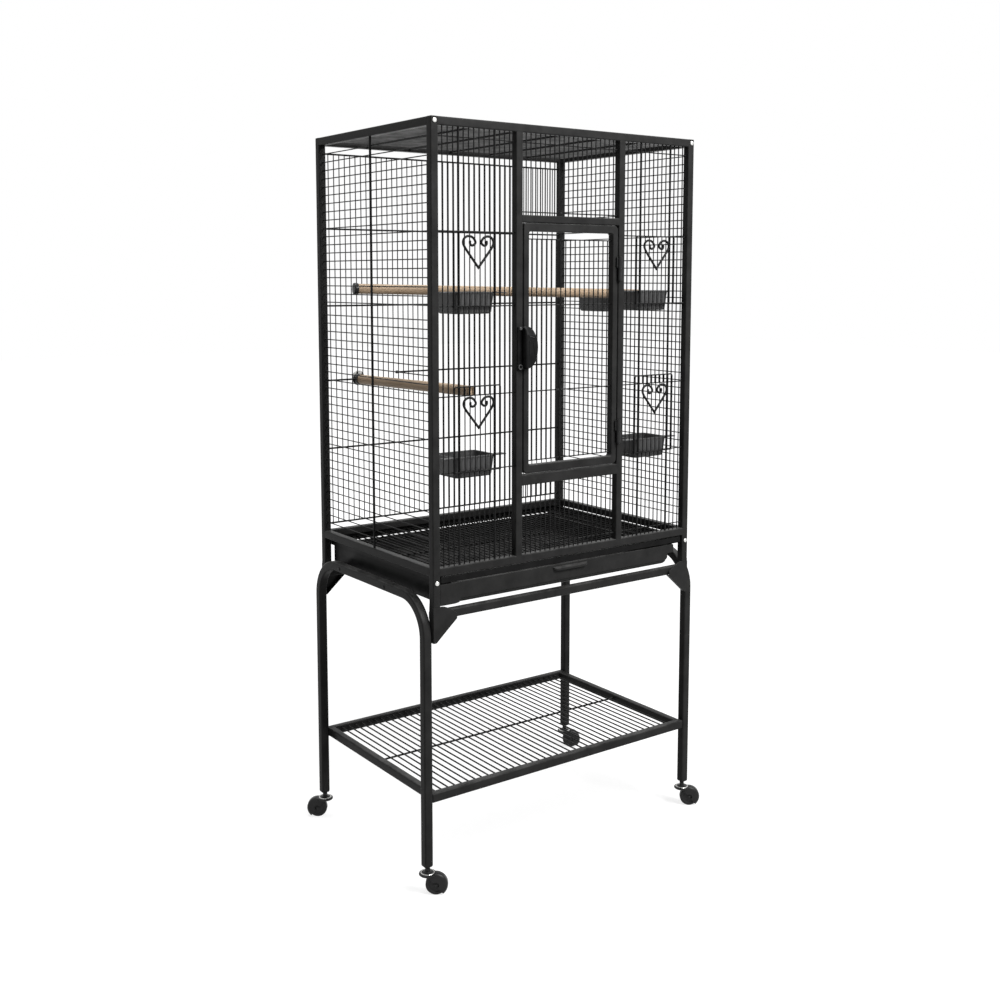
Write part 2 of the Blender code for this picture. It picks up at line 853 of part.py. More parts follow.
side_inner_left = left + side_wire_inset + wire + seat_gap
cap_tilt = cap_radius * abs(upper_perch_left_across - upper_perch_right_across) / cage_length
perch(
    "upper_perch",
    (side_inner_left + cap_tilt, upper_perch_left_across, upper_perch_left_height),
    (side_inner_right - cap_tilt, upper_perch_right_across, upper_perch_right_height),
)
cap_lean = cap_radius * abs(lower_perch_front_height - lower_perch_rear_height) / cage_depth
perch(
    "lower_perch",
    (left + lower_perch_inset, rear - front_wire_inset - wire - seat_gap - cap_lean, lower_perch_rear_height),
    (left + lower_perch_inset, cup_front_y + cap_lean, lower_perch_front_height),
)

# Runners: stepped channels between the posts that carry the grate and the tray, with a skirt along the outside
runner_inner = left + tube + seat_gap
runner_web = runner_inner + runner_step
runner_low = runner_top - runner_drop
runner_front = front + runner_end_gap
runner_rear = rear - runner_end_gap


def runner(name, mirror):
    outline = [
        (runner_inner, runner_top), (runner_inner, runner_skirt_low),
        (runner_inner + tray_panel, runner_skirt_low), (runner_inner + tray_panel, runner_top - sheet),
        (runner_web - sheet, runner_top - sheet), (runner_web - sheet, runner_low),
        (runner_web + runner_ledge, runner_low), (runner_web + runner_ledge, runner_low + sheet),
        (runner_web, runner_low + sheet), (runner_web, runner_top),
    ]
    # The front panel's plane looks along Y, so the outline is drawn there and carried from front to rear.
    plate(
        name, [[(mirror * u, v) for u, v in outline]], on_xz,
        (0, (runner_front + runner_rear) / 2, 0), runner_rear - runner_front, powder_coat,
    )


runner("left_runner", 1)
runner("right_runner", -1)

# Grate: a frame of flat bars round a wire floor, lying on the runners
grate_low = runner_top + seat_gap
grate_left = left + tube + grate_side_gap
grate_right = right - tube - grate_side_gap
grate_front = front + grate_front_back_gap
grate_rear = rear - grate_front_back_gap


def grate():
    inset = grate_bar_depth / 2
    outer = grown(grate_left, grate_right, grate_front, grate_rear, -inset, -inset)
    inner = grown(*outer, -grate_border, -grate_border)
    grate_top = grate_low + grate_bar_height
    bar = box(
        "grate", (grate_left, grate_front, grate_low),
        (grate_right, grate_front + grate_bar_depth, grate_top), powder_coat,
    )
    field_middle = grate_low + grate_bar_height / 2
    field = wire_grid(
        "grate_field", outer, inner,
        [(x, grate_wire) for x in spread(inner[0], inner[1], grate_pitch)],
        [(y, grate_wire) for y in spread(inner[2], inner[3], grate_row_pitch)],
        on_xy, (0, 0, field_middle), grate_wire, powder_coat, cutters,
    )
    rear_bar = box(
        "grate_rear_bar", (grate_left, grate_rear - grate_bar_depth, grate_low),
        (grate_right, grate_rear, grate_top), powder_coat, cutters,
    )
    combine(bar, [field, rear_bar])
    for side, edge in (("left", grate_left + seat_gap), ("right", grate_right - grate_bar_depth - seat_gap)):
        side_bar = box(
            "grate_bar_" + side, (edge, outer[2], grate_low + seat_gap),
            (edge + grate_bar_depth, outer[3], grate_top - seat_gap), powder_coat, cutters,
        )
        combine(bar, [side_bar])


grate()

# Tray: pan with rounded edges, side hems on the runner ledges, and a front panel with its finger pull.
# The panel reaches the left post and ends short of the right one.
tray_hem_low = runner_low + sheet + seat_gap
tray_high = runner_top - sheet - tray_lip_clearance
tray_left = runner_web + runner_ledge + tray_clearance
tray_front = grate_front
tray_rear = rear - runner_end_gap


def tray():
    def pan_outline(inset, top):
        low_y = tray_front + inset
        high_y = tray_rear - inset
        low_z = tray_bottom + inset
        radius = tray_corner - inset
        return (
            [(high_y, top), (low_y, top)]
            + arc(low_y + radius, low_z + radius, radius, 180, 270, 3)
            + arc(high_y - radius, low_z + radius, radius, 270, 360, 3)
        )

    pan = as_mesh(
        plate("tray", [pan_outline(0.0, tray_high)], on_yz, (0, 0, 0), -2 * tray_left, powder_coat)
    )
    hollow = as_mesh(
        plate(
            "tray_hollow", [pan_outline(tray_wall, tray_high + tray_wall)], on_yz, (0, 0, 0),
            -2 * (tray_left + tray_wall), powder_coat, cutters,
        ),
        cutters,
    )
    combine(pan, [hollow], "DIFFERENCE")

    for side, mirror in (("left", 1), ("right", -1)):
        hem_edges = sorted((mirror * (tray_left - tray_hem_width), mirror * (tray_left - seat_gap)))
        box(
            "tray_" + side + "_hem", (hem_edges[0], tray_front, tray_hem_low),
            (hem_edges[1], tray_rear, tray_high), powder_coat,
        )

    panel_back = tray_front - seat_gap
    panel_front = panel_back - tray_panel
    panel_low = tray_bottom + tray_corner
    panel_high = tray_high + sheet / 2
    wing_left = left + tube + tray_wing_gap
    ear_right = -(runner_web - sheet)
    outline = [
        (wing_left, tray_bottom), (tray_left, tray_bottom), (tray_left, panel_low), (-tray_left, panel_low),
        (-tray_left, runner_low), (ear_right, runner_low), (ear_right, panel_high), (wing_left, panel_high),
    ]
    panel = as_mesh(
        plate(
            "tray_front", [outline], on_xz, (0, (panel_front + panel_back) / 2, 0), tray_panel, powder_coat
        )
    )
    pull_low = tray_high - pull_thickness - sheet
    pull = box(
        "tray_pull", (-pull_width / 2, tray_front - pull_forward, pull_low),
        (pull_width / 2, panel_front + tray_panel / 2, pull_low + pull_thickness), powder_coat, cutters,
    )
    combine(panel, [pull])


tray()

# Stand: bent leg frames outside the side panels, each an upside-down U
leg_middle_x = right + leg_out + tube / 2
leg_middle_y = rear - leg_inset - tube / 2


def leg_frame(name, middle_x):
    outer_y = leg_middle_y + tube / 2
    inner_radius = bend_radius - tube
    center_y = outer_y - bend_radius
    center_z = beam_top - bend_radius
    outline = [(-outer_y, leg_bottom)]
    outline += arc(-center_y, center_z, bend_radius, 180, 90, 8)
    outline += arc(center_y, center_z, bend_radius, 90, 0, 8)
    outline += [(outer_y, leg_bottom), (outer_y - tube, leg_bottom)]
    outline += arc(center_y, center_z, inner_radius, 0, 90, 8)
    outline += arc(-center_y, center_z, inner_radius, 90, 180, 8)
    outline += [(-outer_y + tube, leg_bottom)]
    plate(name, [outline], on_yz, (middle_x, 0, 0), tube, powder_coat)


leg_frame("left_leg_frame", -leg_middle_x)
leg_frame("right_leg_frame", leg_middle_x)

crossbar_end = right - bracket_sheet - 2 * seat_gap
for end_name, toward in (("front", -1), ("rear", 1)):
    box(
        end_name + "_bar", (-crossbar_end, toward * leg_middle_y - tube / 2, crossbar_top - tube),
        (crossbar_end, toward * leg_middle_y + tube / 2, crossbar_top), powder_coat,
    )


# Corner brackets: a folded sheet under each post, against the leg
def bracket(name, side_x, side_y):
    top = cage_bottom - seat_gap
    low = cage_bottom - bracket_drop
    knee_z = crossbar_top - tube - sheet
    outline = [
        (right, low), (right, top), (right - bracket_shoulder, top),
        (right - bracket_reach, crossbar_top - tube / 2), (right - bracket_reach, knee_z),
        (right - bracket_toe, low),
    ]
    face_y = side_y * (rear - bracket_sheet / 2)
    face = as_mesh(
        plate(name, [[(side_x * u, v) for u, v in outline]], on_xz, (0, face_y, 0), bracket_sheet, powder_coat)
    )
    flange_x = sorted((side_x * right, side_x * (right - bracket_sheet)))
    flange_y = sorted((side_y * (rear - bracket_sheet / 2), side_y * (leg_middle_y - tube / 2)))
    flange = box(
        name + "_flange", (flange_x[0], flange_y[0], low), (flange_x[1], flange_y[1], top),
        powder_coat, cutters,
    )
    start = Vector((right - bracket_toe, low))
    end = Vector((right - bracket_reach, knee_z))
    across = (end - start).normalized()
    inward = Vector((-across.y, across.x)) * -bracket_sheet
    lip_outline = [start, end, end + inward, start + inward]
    lip = as_mesh(
        plate(
            name + "_lip", [[(side_x * p.x, p.y) for p in lip_outline]], on_xz,
            (0, side_y * (rear - bracket_lip / 2), 0), bracket_lip, powder_coat, cutters,
        ),
        cutters,
    )
    combine(face, [flange, lip])


for end_name, side_y in (("front", -1), ("rear", 1)):
    for side_name, side_x in (("left", -1), ("right", 1)):
        bracket(end_name + "_bracket_" + side_name, side_x, side_y)


# Shelf: tube ring with a wire floor
def shelf():
    out_x = right
    out_y = leg_middle_y + tube / 2
    ring = as_mesh(
        plate(
            "shelf",
            [rectangle(-out_x, out_x, -out_y, out_y),
             rectangle(-out_x + tube, out_x - tube, -out_y + tube, out_y - tube)],
            on_xy, (0, 0, shelf_bottom + tube / 2), tube, powder_coat,
        )
    )
    window_sides = (-out_x + tube, out_x - tube, -out_y + tube, out_y - tube)
    inner = grown(*window_sides, panel_border_bite, panel_border_bite)
    floor = wire_grid(
        "shelf_floor", grown(*window_sides, panel_bite, panel_bite), inner,
        [(x, shelf_wire) for x in spread(inner[0], inner[1], shelf_pitch)], [(0, shelf_wire)],
        on_xy, (0, 0, shelf_bottom + shelf_wire_bottom + shelf_wire / 2), shelf_wire, powder_coat, cutters,
    )
    combine(ring, [floor])


shelf()


# Casters: a hooded fork that swivels under each leg, and its wheel
def fork_mesh():
    """The fork about its swivel axis, trailing along +X, with the floor at z = 0."""
    hood_radius = wheel_radius + wheel_clearance + hood_wall
    hood_width = wheel_width + 2 * (wheel_side_gap + hood_cheek)
    stem = cylinder(
        "fork_stem", (0, 0, caster_plate_top - caster_plate_height / 2), (0, 0, leg_bottom - seat_gap),
        caster_stem_radius, stem_sides, black_plastic, cutters,
    )
    swivel_plate = cylinder(
        "fork_plate", (0, 0, caster_plate_top - caster_plate_height), (0, 0, caster_plate_top),
        caster_plate_radius, plate_sides, black_plastic, cutters,
    )
    outline = arc(caster_trail, wheel_radius, hood_radius, hood_low_angle, hood_high_angle, hood_steps)
    cut = math.radians(hood_cut_angle + 180)
    outline.append(
        (caster_trail + hood_hub_reach * math.cos(cut), wheel_radius + hood_hub_reach * math.sin(cut))
    )
    hood = as_mesh(plate("fork_hood", [outline], on_xz, (0, 0, 0), hood_width, black_plastic, cutters), cutters)
    slot = cylinder(
        "fork_slot", (caster_trail, -wheel_width / 2 - wheel_side_gap, wheel_radius),
        (caster_trail, wheel_width / 2 + wheel_side_gap, wheel_radius),
        wheel_radius + wheel_clearance, wheel_sides, black_plastic, cutters,
    )
    bore = cylinder(
        "fork_bore", (caster_trail, -hood_width, wheel_radius), (caster_trail, hood_width, wheel_radius),
        axle_radius + axle_gap, stem_sides, black_plastic, cutters,
    )
    combine(hood, [swivel_plate, stem])
    combine(hood, [slot, bore], "DIFFERENCE")
    bpy.context.view_layer.update()
    graph = bpy.context.evaluated_depsgraph_get()
    mesh = bpy.data.meshes.new_from_object(hood.evaluated_get(graph))
    mesh.transform(hood.matrix_world)
    mesh.name = "caster_fork"
    return mesh


def wheel_object(name):
    """A turned wheel with its axle, on its own X axis at first and then laid across the fork."""
    half = wheel_width / 2
    axle_half = half + wheel_side_gap + hood_cheek
    # The corners of the tread stand out so that its flats lie at the wheel's radius.
    tread = wheel_radius / math.cos(math.pi / wheel_sides)
    profile = [
        (0.0, axle_half), (axle_radius, axle_half), (axle_radius, half - wheel_dish),
        (tread - wheel_rim, half - wheel_dish), (tread - wheel_round, half),
        (tread, half - wheel_round),
    ]
    profile += [(r, -z) for r, z in reversed(profile)]
    mesh = bpy.data.meshes.new(name)
    mesh.from_pydata(
        [(r, 0, z) for r, z in profile], [(i, i + 1) for i in range(len(profile) - 1)], []
    )
    obj = add_object(name, mesh, black_plastic, parts)
    turn = obj.modifiers.new("turned", "SCREW")
    turn.axis = "Z"
    turn.steps = wheel_sides
    turn.render_steps = wheel_sides
    turn.use_merge_vertices = True
    turn.merge_threshold = 1e-5
    turn.use_smooth_shade = True
    return obj


fork_shape = fork_mesh()


def caster(name, side_x, side_y, heading):
    swivel = bpy.data.objects.new(name + "_swivel", None)
    parts.objects.link(swivel)
    swivel.location = (side_x * leg_middle_x, side_y * leg_middle_y, 0)
    swivel.rotation_euler = (0, 0, math.radians(heading))
    fork = bpy.data.objects.new(name + "_fork", fork_shape)
    parts.objects.link(fork)
    fork.parent = swivel
    wheel = wheel_object(name + "_wheel")
    wheel.parent = swivel
    wheel.location = (caster_trail, 0, wheel_radius)
    # A half step of the turning puts a flat of the tread on the floor.
    half_step = Matrix.Rotation(math.pi / wheel_sides, 3, "Z")
    wheel.rotation_euler = (Matrix.Rotation(math.pi / 2, 3, "X") @ half_step).to_euler()


caster("front_left", -1, -1, front_left_heading)
caster("front_right", 1, -1, front_right_heading)
caster("rear_left", -1, 1, rear_left_heading)
caster("rear_right", 1, 1, rear_right_heading)

# Bright screws at the top and bottom of the front posts
for side_name, side_x in (("left", -1), ("right", 1)):
    screw_x = side_x * (right - tube / 2)
    for end_name, screw_z in (
        ("top", total_height - top_screw_drop), ("bottom", cage_bottom + bottom_screw_rise)
    ):
        cylinder(
            end_name + "_screw_" + side_name, (screw_x, front - seat_gap, screw_z),
            (screw_x, front - seat_gap - screw_head, screw_z), screw_radius, screw_sides, zinc,
        )
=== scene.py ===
import math

import bpy
import numpy as np
from mathutils import Matrix, Vector


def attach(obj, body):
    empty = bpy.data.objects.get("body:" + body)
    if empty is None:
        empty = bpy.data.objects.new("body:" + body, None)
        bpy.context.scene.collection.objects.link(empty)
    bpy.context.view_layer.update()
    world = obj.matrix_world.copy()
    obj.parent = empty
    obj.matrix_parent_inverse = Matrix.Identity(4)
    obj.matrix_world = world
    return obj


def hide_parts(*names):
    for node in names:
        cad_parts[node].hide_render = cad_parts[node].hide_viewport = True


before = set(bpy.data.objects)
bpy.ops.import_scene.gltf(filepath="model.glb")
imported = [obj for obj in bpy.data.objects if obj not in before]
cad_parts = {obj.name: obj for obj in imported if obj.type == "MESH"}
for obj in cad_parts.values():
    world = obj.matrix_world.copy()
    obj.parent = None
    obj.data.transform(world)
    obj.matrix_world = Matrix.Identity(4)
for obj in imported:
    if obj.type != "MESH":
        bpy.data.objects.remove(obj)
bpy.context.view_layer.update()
print("frame loaded:", len(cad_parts), "nodes")

# camera at the photo's view
camera = {"place": (-1.42865, -1.95322, 1.10726), "azimuth": -35.92, "elevation": 6.17, "lens": 43.375,
          "sensor": 36.0, "shift": (0.0, -0.09171), "clip": (0.05, 60.0)}


def makeCamera():
    # The view's direction from its turn about the upright and its rise: their sines and cosines.
    data = bpy.data.cameras.new("camera")
    data.lens, data.sensor_width = camera["lens"], camera["sensor"]
    data.shift_x, data.shift_y = camera["shift"]
    data.clip_start, data.clip_end = camera["clip"]
    obj = bpy.data.objects.new("camera", data)
    turn, rise = math.radians(camera["azimuth"]), math.radians(camera["elevation"])
    back = Vector((math.sin(turn) * math.cos(rise), -math.cos(turn) * math.cos(rise), math.sin(rise)))
    obj.rotation_euler = (-back).to_track_quat("-Z", "Y").to_euler()
    obj.location = camera["place"]
    bpy.context.scene.collection.objects.link(obj)
    bpy.context.scene.camera = obj


makeCamera()
bpy.context.scene.view_settings.view_transform = "Standard"


# surfaces
# A shell is a pair: an array of points, and a list of face arrays, each with one corner count.
def ringShell(rings, closedPath=False):
    # Bars of rings[bar, step, side]: quads between neighbouring rings, flat ends unless the path closes.
    rings = np.asarray(rings, float)
    if rings.ndim == 3:
        rings = rings[None]
    bars, steps, sides = rings.shape[:3]
    index = np.arange(bars * steps * sides).reshape(bars, steps, sides)
    if closedPath:
        here, there = index, np.roll(index, -1, axis=1)
    else:
        here, there = index[:, :-1], index[:, 1:]
    quads = np.stack([here, np.roll(here, -1, axis=2), np.roll(there, -1, axis=2), there], axis=-1)
    groups = [quads.reshape(-1, 4)]
    if not closedPath:
        groups += [index[:, 0, ::-1], index[:, -1]]
    return rings.reshape(-1, 3), groups


def faceOut(shell):
    # The sum of the fans' triple products is six times the volume: negative means inside out.
    points, groups = shell
    volume = 0.0
    for group in groups:
        corners = points[group]
        for k in range(1, group.shape[1] - 1):
            volume += (corners[:, 0] * np.cross(corners[:, k], corners[:, k + 1])).sum()
    return shell if volume > 0 else (points, [group[:, ::-1] for group in groups])


def addPiece(name, shells, material, nodes=(), body="frame", weighted=True):
    # One mesh object out of several closed shells, written as whole arrays.
    shells = [faceOut(shell) for shell in shells]
    starts = np.cumsum([0] + [len(points) for points, groups in shells])
    points = np.concatenate([points for points, groups in shells])
    groups = [group + start for shell, start in zip(shells, starts) for group in shell[1]]
    counts = np.concatenate([np.full(len(group), group.shape[1]) for group in groups])
    corners = np.concatenate([group.ravel() for group in groups])
    mesh = bpy.data.meshes.new(name)
    mesh.vertices.add(len(points))
    mesh.vertices.foreach_set("co", points.ravel().astype(np.float32))
    mesh.loops.add(len(corners))
    mesh.loops.foreach_set("vertex_index", corners.astype(np.int32))
    mesh.polygons.add(len(counts))
    mesh.polygons.foreach_set("loop_start", np.concatenate([[0], np.cumsum(counts)[:-1]]).astype(np.int32))
    mesh.update(calc_edges=True)
    mesh.shade_smooth()
    mesh.set_sharp_from_angle(angle=math.radians(38.0))
    mesh.materials.append(material)
    obj = bpy.data.objects.new(name, mesh)
    bpy.context.scene.collection.objects.link(obj)
    if weighted:
        finish = obj.modifiers.new("flatFaces", "WEIGHTED_NORMAL")
        finish.keep_sharp = True
    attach(obj, body)
    if nodes:
        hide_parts(*nodes)
    return obj


def roundedSection(halfU, halfV, radius, perCorner=4):
    # Four quarter circles, each set in from its corner by the radius.
    quarter = np.linspace(0, math.pi / 2, perCorner)
    angles = (quarter[None] + np.arange(4)[:, None] * math.pi / 2).ravel()
    signU, signV = np.repeat([1, -1, -1, 1], perCorner), np.repeat([1, 1, -1, -1], perCorner)
    return np.stack([signU * (halfU - radius) + radius * np.cos(angles),
                     signV * (halfV - radius) + radius * np.sin(angles)], axis=-1)


def roundedLoop(low, high, radius, perCorner):
    # The outline of a rounded rectangle in two axes, corner by corner.
    low, high = np.asarray(low, float), np.asarray(high, float)
    return roundedSection(*((high - low) / 2), radius, perCorner) + (low + high) / 2


def roundedBars(boxes, radius, endBevel=0.0):
    # A box with rounded long edges: a rounded section along its longest side, drawn in near both ends.
    boxes = np.asarray(boxes, float).reshape(-1, 2, 3)
    low, high = boxes.min(axis=1), boxes.max(axis=1)
    middle, half = (low + high) / 2, (high - low) / 2
    order = (np.argmax(half, axis=1)[:, None] + np.arange(3)) % 3
    half, middle = (np.take_along_axis(each, order, axis=1) for each in (half, middle))
    shells = []
    for bar, (reach, halfU, halfV) in enumerate(half):
        own = min(radius, halfU * 0.98, halfV * 0.98)
        bevel = min(endBevel, own * 0.9)
        steps = [(-reach, bevel), (-reach + bevel * 0.3, bevel * 0.3), (-reach + bevel, 0.0),
                 (reach - bevel, 0.0), (reach - bevel * 0.3, bevel * 0.3), (reach, bevel)]
        block = []
        for along, inset in steps if bevel else (steps[0], steps[-1]):
            flat = roundedSection(halfU - inset, halfV - inset, max(own - inset, 1e-5))
            block.append(np.column_stack([np.full(len(flat), along), flat]) + middle[bar])
        shells.append(ringShell(np.array(block)[..., np.argsort(order[bar])]))
    return shells


def wires(x, y, z, radius, sides=8):
    # Straight round wires: a circle about each start and each end, across the wire's direction. Each axis
    # is one value along the wire, or its start and its end; a value may be an array with one for each wire.
    starts, ends = (np.column_stack(np.broadcast_arrays(*(np.atleast_1d(axis[end]) for axis in (x, y, z))))
                    for end in (0, -1))
    along = ends - starts
    along /= np.linalg.norm(along, axis=1, keepdims=True)
    helper = np.where(np.abs(along[:, 2:3]) > 0.7, [[1.0, 0.0, 0.0]], [[0.0, 0.0, 1.0]])
    sideways = np.cross(along, helper)
    sideways /= np.linalg.norm(sideways, axis=1, keepdims=True)
    upward = np.cross(along, sideways)
    angles = (np.arange(sides) * 2 * math.pi / sides)[None, :, None]
    circle = radius * (sideways[:, None] * np.cos(angles) + upward[:, None] * np.sin(angles))
    return ringShell(np.stack([starts[:, None] + circle, ends[:, None] + circle], axis=1))


def sweptPath(path, section, normal, closed=False, scale=None):
    # A section carried along a flat path: its first axis lies across the path in the plane,
    # widened by one over the cosine of half the bend, its second along the plane's normal.
    path, normal, section = (np.asarray(each, float) for each in (path, normal, section))
    if closed:
        before, after = path - np.roll(path, 1, axis=0), np.roll(path, -1, axis=0) - path
    else:
        step = np.diff(path, axis=0)
        before, after = np.vstack([step[:1], step]), np.vstack([step, step[-1:]])
    before = before / np.linalg.norm(before, axis=1, keepdims=True)
    after = after / np.linalg.norm(after, axis=1, keepdims=True)
    along = before + after
    length = np.linalg.norm(along, axis=1, keepdims=True)
    across = np.cross(along / length, normal) / np.clip(length / 2, 0.35, 1.0)
    grow = (np.ones(len(path)) if scale is None else np.asarray(scale, float))[:, None, None]
    wide = across[:, None] * section[None, :, :1] * grow
    return ringShell(path[:, None] + wide + normal[None, None] * section[None, :, 1:] * grow, closed)


def circleSection(radiusU, radiusV, sides):
    # An ellipse: one radius times the cosine, the other times the sine.
    angles = np.arange(sides) * 2 * math.pi / sides
    return np.stack([radiusU * np.cos(angles), radiusV * np.sin(angles)], axis=-1)


def turned(profile, start, direction, sides=24, ring=False):
    # A profile of (radius, height) turned about a line from start along direction, with flat ends;
    # as a ring it is a closed section instead, which leaves the middle open.
    profile = np.asarray(profile, float)
    along = np.asarray(direction, float) / np.linalg.norm(direction)
    sideways = np.cross(along, (0.0, 0.0, 1.0) if abs(along[2]) < 0.7 else (1.0, 0.0, 0.0))
    sideways /= np.linalg.norm(sideways)
    flat = circleSection(1.0, 1.0, sides)
    circle = flat[:, :1] * sideways + flat[:, 1:] * np.cross(along, sideways)
    rings = np.asarray(start, float) + profile[:, None, :1] * circle + profile[:, None, 1:] * along
    return ringShell(rings.swapaxes(0, 1) if ring else rings, closedPath=ring)


def arcPoints(centerU, centerV, radius, fromDegrees, toDegrees, count):
    # Even steps of angle round a centre, as cosine and sine times the radius.
    angles = np.radians(np.linspace(fromDegrees, toDegrees, count))
    return np.column_stack([centerU + radius * np.cos(angles), centerV + radius * np.sin(angles)])


def smoothThrough(points, perSpan):
    # Catmull-Rom: each span is a cubic through its ends, led by the points before and after.
    points = np.asarray(points, float)
    padded = np.vstack([2 * points[0] - points[1], points, 2 * points[-1] - points[-2]])
    a, b, c, d = padded[:-3, None], padded[1:-2, None], padded[2:-1, None], padded[3:, None]
    t = np.linspace(0, 1, perSpan, endpoint=False)[None, :, None]
    curve = 0.5 * (2 * b + (c - a) * t + (2 * a - 5 * b + 4 * c - d) * t**2 + (3 * b - a - 3 * c + d) * t**3)
    return np.vstack([curve.reshape(-1, points.shape[1]), points[-1:]])


def level(loop, z):
    # A flat loop laid at one height.
    return np.column_stack([loop, np.full(len(loop), z)])


def upright(loop, y):
    # A flat loop stood up facing the front, at one depth.
    return np.column_stack([loop[:, 0], np.full(len(loop), y), loop[:, 1]])


def placed(shells, turn, offset=(0, 0, 0)):
    # Shells moved as one: every point times the turn, plus the offset.
    return [(points @ np.asarray(turn).T + np.asarray(offset), groups) for points, groups in shells]


def turnAboutZ(degrees):
    # The turn about the upright axis as a matrix.
    return np.array(Matrix.Rotation(math.radians(degrees), 3, "Z"))


# node groups and materials
def makeGroup(name, inputs, outputs):
    # An empty group with its sockets; gives the group, its input node and its output node.
    group = bpy.data.node_groups.new(name, "ShaderNodeTree")
    for label, kind, value in inputs:
        socket = group.interface.new_socket(label, in_out="INPUT", socket_type=kind)
        if value is not None:
            socket.default_value = value
    for label in outputs:
        group.interface.new_socket(label, in_out="OUTPUT", socket_type="NodeSocketFloat")
    return group, group.nodes.new("NodeGroupInput"), group.nodes.new("NodeGroupOutput")


def fillInputs(tree, node, inputs):
    # An input is linked where its value is a socket, and set where it is a constant.
    for key, value in inputs.items():
        if isinstance(value, bpy.types.NodeSocket):
            tree.links.new(value, node.inputs[key])
        else:
            node.inputs[key].default_value = value


def addNode(tree, kind, inputs, **settings):
    # One node with its settings, and its inputs linked or set.
    node = tree.nodes.new(kind)
    for key, value in settings.items():
        setattr(node, key, value)
    fillInputs(tree, node, inputs)
    return node


def noise(tree, place, scale, detail, **more):
    # Soft noise at a place, as a share from 0 to 1.
    inputs = {"Vector": place, "Scale": scale, "Detail": detail, **more}
    return addNode(tree, "ShaderNodeTexNoise", inputs).outputs["Fac"]


def ranged(tree, value, low, high, toLow=0.0, toHigh=1.0, **settings):
    # A value between low and high, taken to the same place between two others.
    inputs = {"Value": value, "From Min": low, "From Max": high, "To Min": toLow, "To Max": toHigh}
    return addNode(tree, "ShaderNodeMapRange", inputs, **settings).outputs["Result"]


def combined(tree, operation, *values):
    # One sum, product or maximum of values.
    return addNode(tree, "ShaderNodeMath", dict(enumerate(values)), operation=operation).outputs[0]


def makeOrangePeel():
    # Sprayed coat: fine pebbles for the height, a slow drift of tone, and a paler tone on faces that look up,
    # which is painted light from above.
    group, entry, leave = makeGroup(
        "orangePeel",
        [("Coordinates", "NodeSocketVector", None), ("Pebble Size", "NodeSocketFloat", 900.0),
         ("Drift Size", "NodeSocketFloat", 22.0)],
        ["Height", "Drift", "Painted Top Light"],
    )
    place, pebbleSize, driftSize = (
        entry.outputs[label] for label in ("Coordinates", "Pebble Size", "Drift Size"))
    pebble = noise(group, place, pebbleSize, 2.0, Roughness=0.55)
    height = combined(group, "MULTIPLY_ADD", noise(group, place, 160.0, 1.0), 0.8, pebble)
    drift = ranged(group, noise(group, place, driftSize, 4.0, Roughness=0.6), 0.35, 0.65)
    normal = addNode(group, "ShaderNodeNewGeometry", {}).outputs["Normal"]
    parts = addNode(group, "ShaderNodeSeparateXYZ", {"Vector": normal})
    paintedTopLight = combined(group, "MULTIPLY", ranged(group, parts.outputs["Z"], 0.35, 0.95), drift)
    for label, value in (("Height", height), ("Drift", drift), ("Painted Top Light", paintedTopLight)):
        group.links.new(value, leave.inputs[label])
    return group


orangePeel = makeOrangePeel()


def newMaterial(name, look, metallic=0.0, specular=0.5):
    # A principled surface with its plain constants.
    material = bpy.data.materials.new(name)
    material.use_nodes = True
    shader = material.node_tree.nodes["Principled BSDF"]
    shader.inputs["Base Color"].default_value = (0.5, 0.5, 0.5, 1.0)
    shader.inputs["Roughness"].default_value = look["roughness"]
    shader.inputs["Metallic"].default_value = metallic
    shader.inputs["Specular IOR Level"].default_value = specular
    return material, material.node_tree, shader


def mixTones(tree, share, first, second, **settings):
    # The first tone where the share is 0, the second where it is 1.
    tones = [value if isinstance(value, bpy.types.NodeSocket) else (*value, 1.0) for value in (first, second)]
    mix = addNode(tree, "ShaderNodeMix", {0: share, 6: tones[0], 7: tones[1]}, data_type="RGBA", **settings)
    return mix.outputs[2]


def addBump(tree, shader, height, look):
    # The surface's slope from a height.
    inputs = {"Height": height, "Strength": look["bump"], "Distance": look["depth"]}
    tree.links.new(addNode(tree, "ShaderNodeBump", inputs).outputs["Normal"], shader.inputs["Normal"])


def coatMaterial(name, look):
    # Two tones mixed by the drift, a paler tone painted on faces that look up as light from above, a pebbled
    # bump.
    material, tree, shader = newMaterial(name, look, specular=look["specular"])
    place = addNode(tree, "ShaderNodeTexCoord", {}).outputs["Object"]
    inputs = {"Coordinates": place, "Pebble Size": look["pebble"], "Drift Size": look["driftSize"]}
    peel = addNode(tree, "ShaderNodeGroup", {}, node_tree=orangePeel)
    fillInputs(tree, peel, inputs)
    tones = mixTones(tree, peel.outputs["Drift"], look["dark"], look["light"])
    share = combined(tree, "MULTIPLY", peel.outputs["Painted Top Light"], look["paintedTopLightShare"])
    tree.links.new(mixTones(tree, share, tones, look["paintedTopLight"]), shader.inputs["Base Color"])
    rough, spread = look["roughness"], look["roughSpread"]
    roughness = ranged(tree, peel.outputs["Drift"], 0.0, 1.0, rough - spread, rough + spread)
    tree.links.new(roughness, shader.inputs["Roughness"])
    addBump(tree, shader, peel.outputs["Height"], look)
    return material
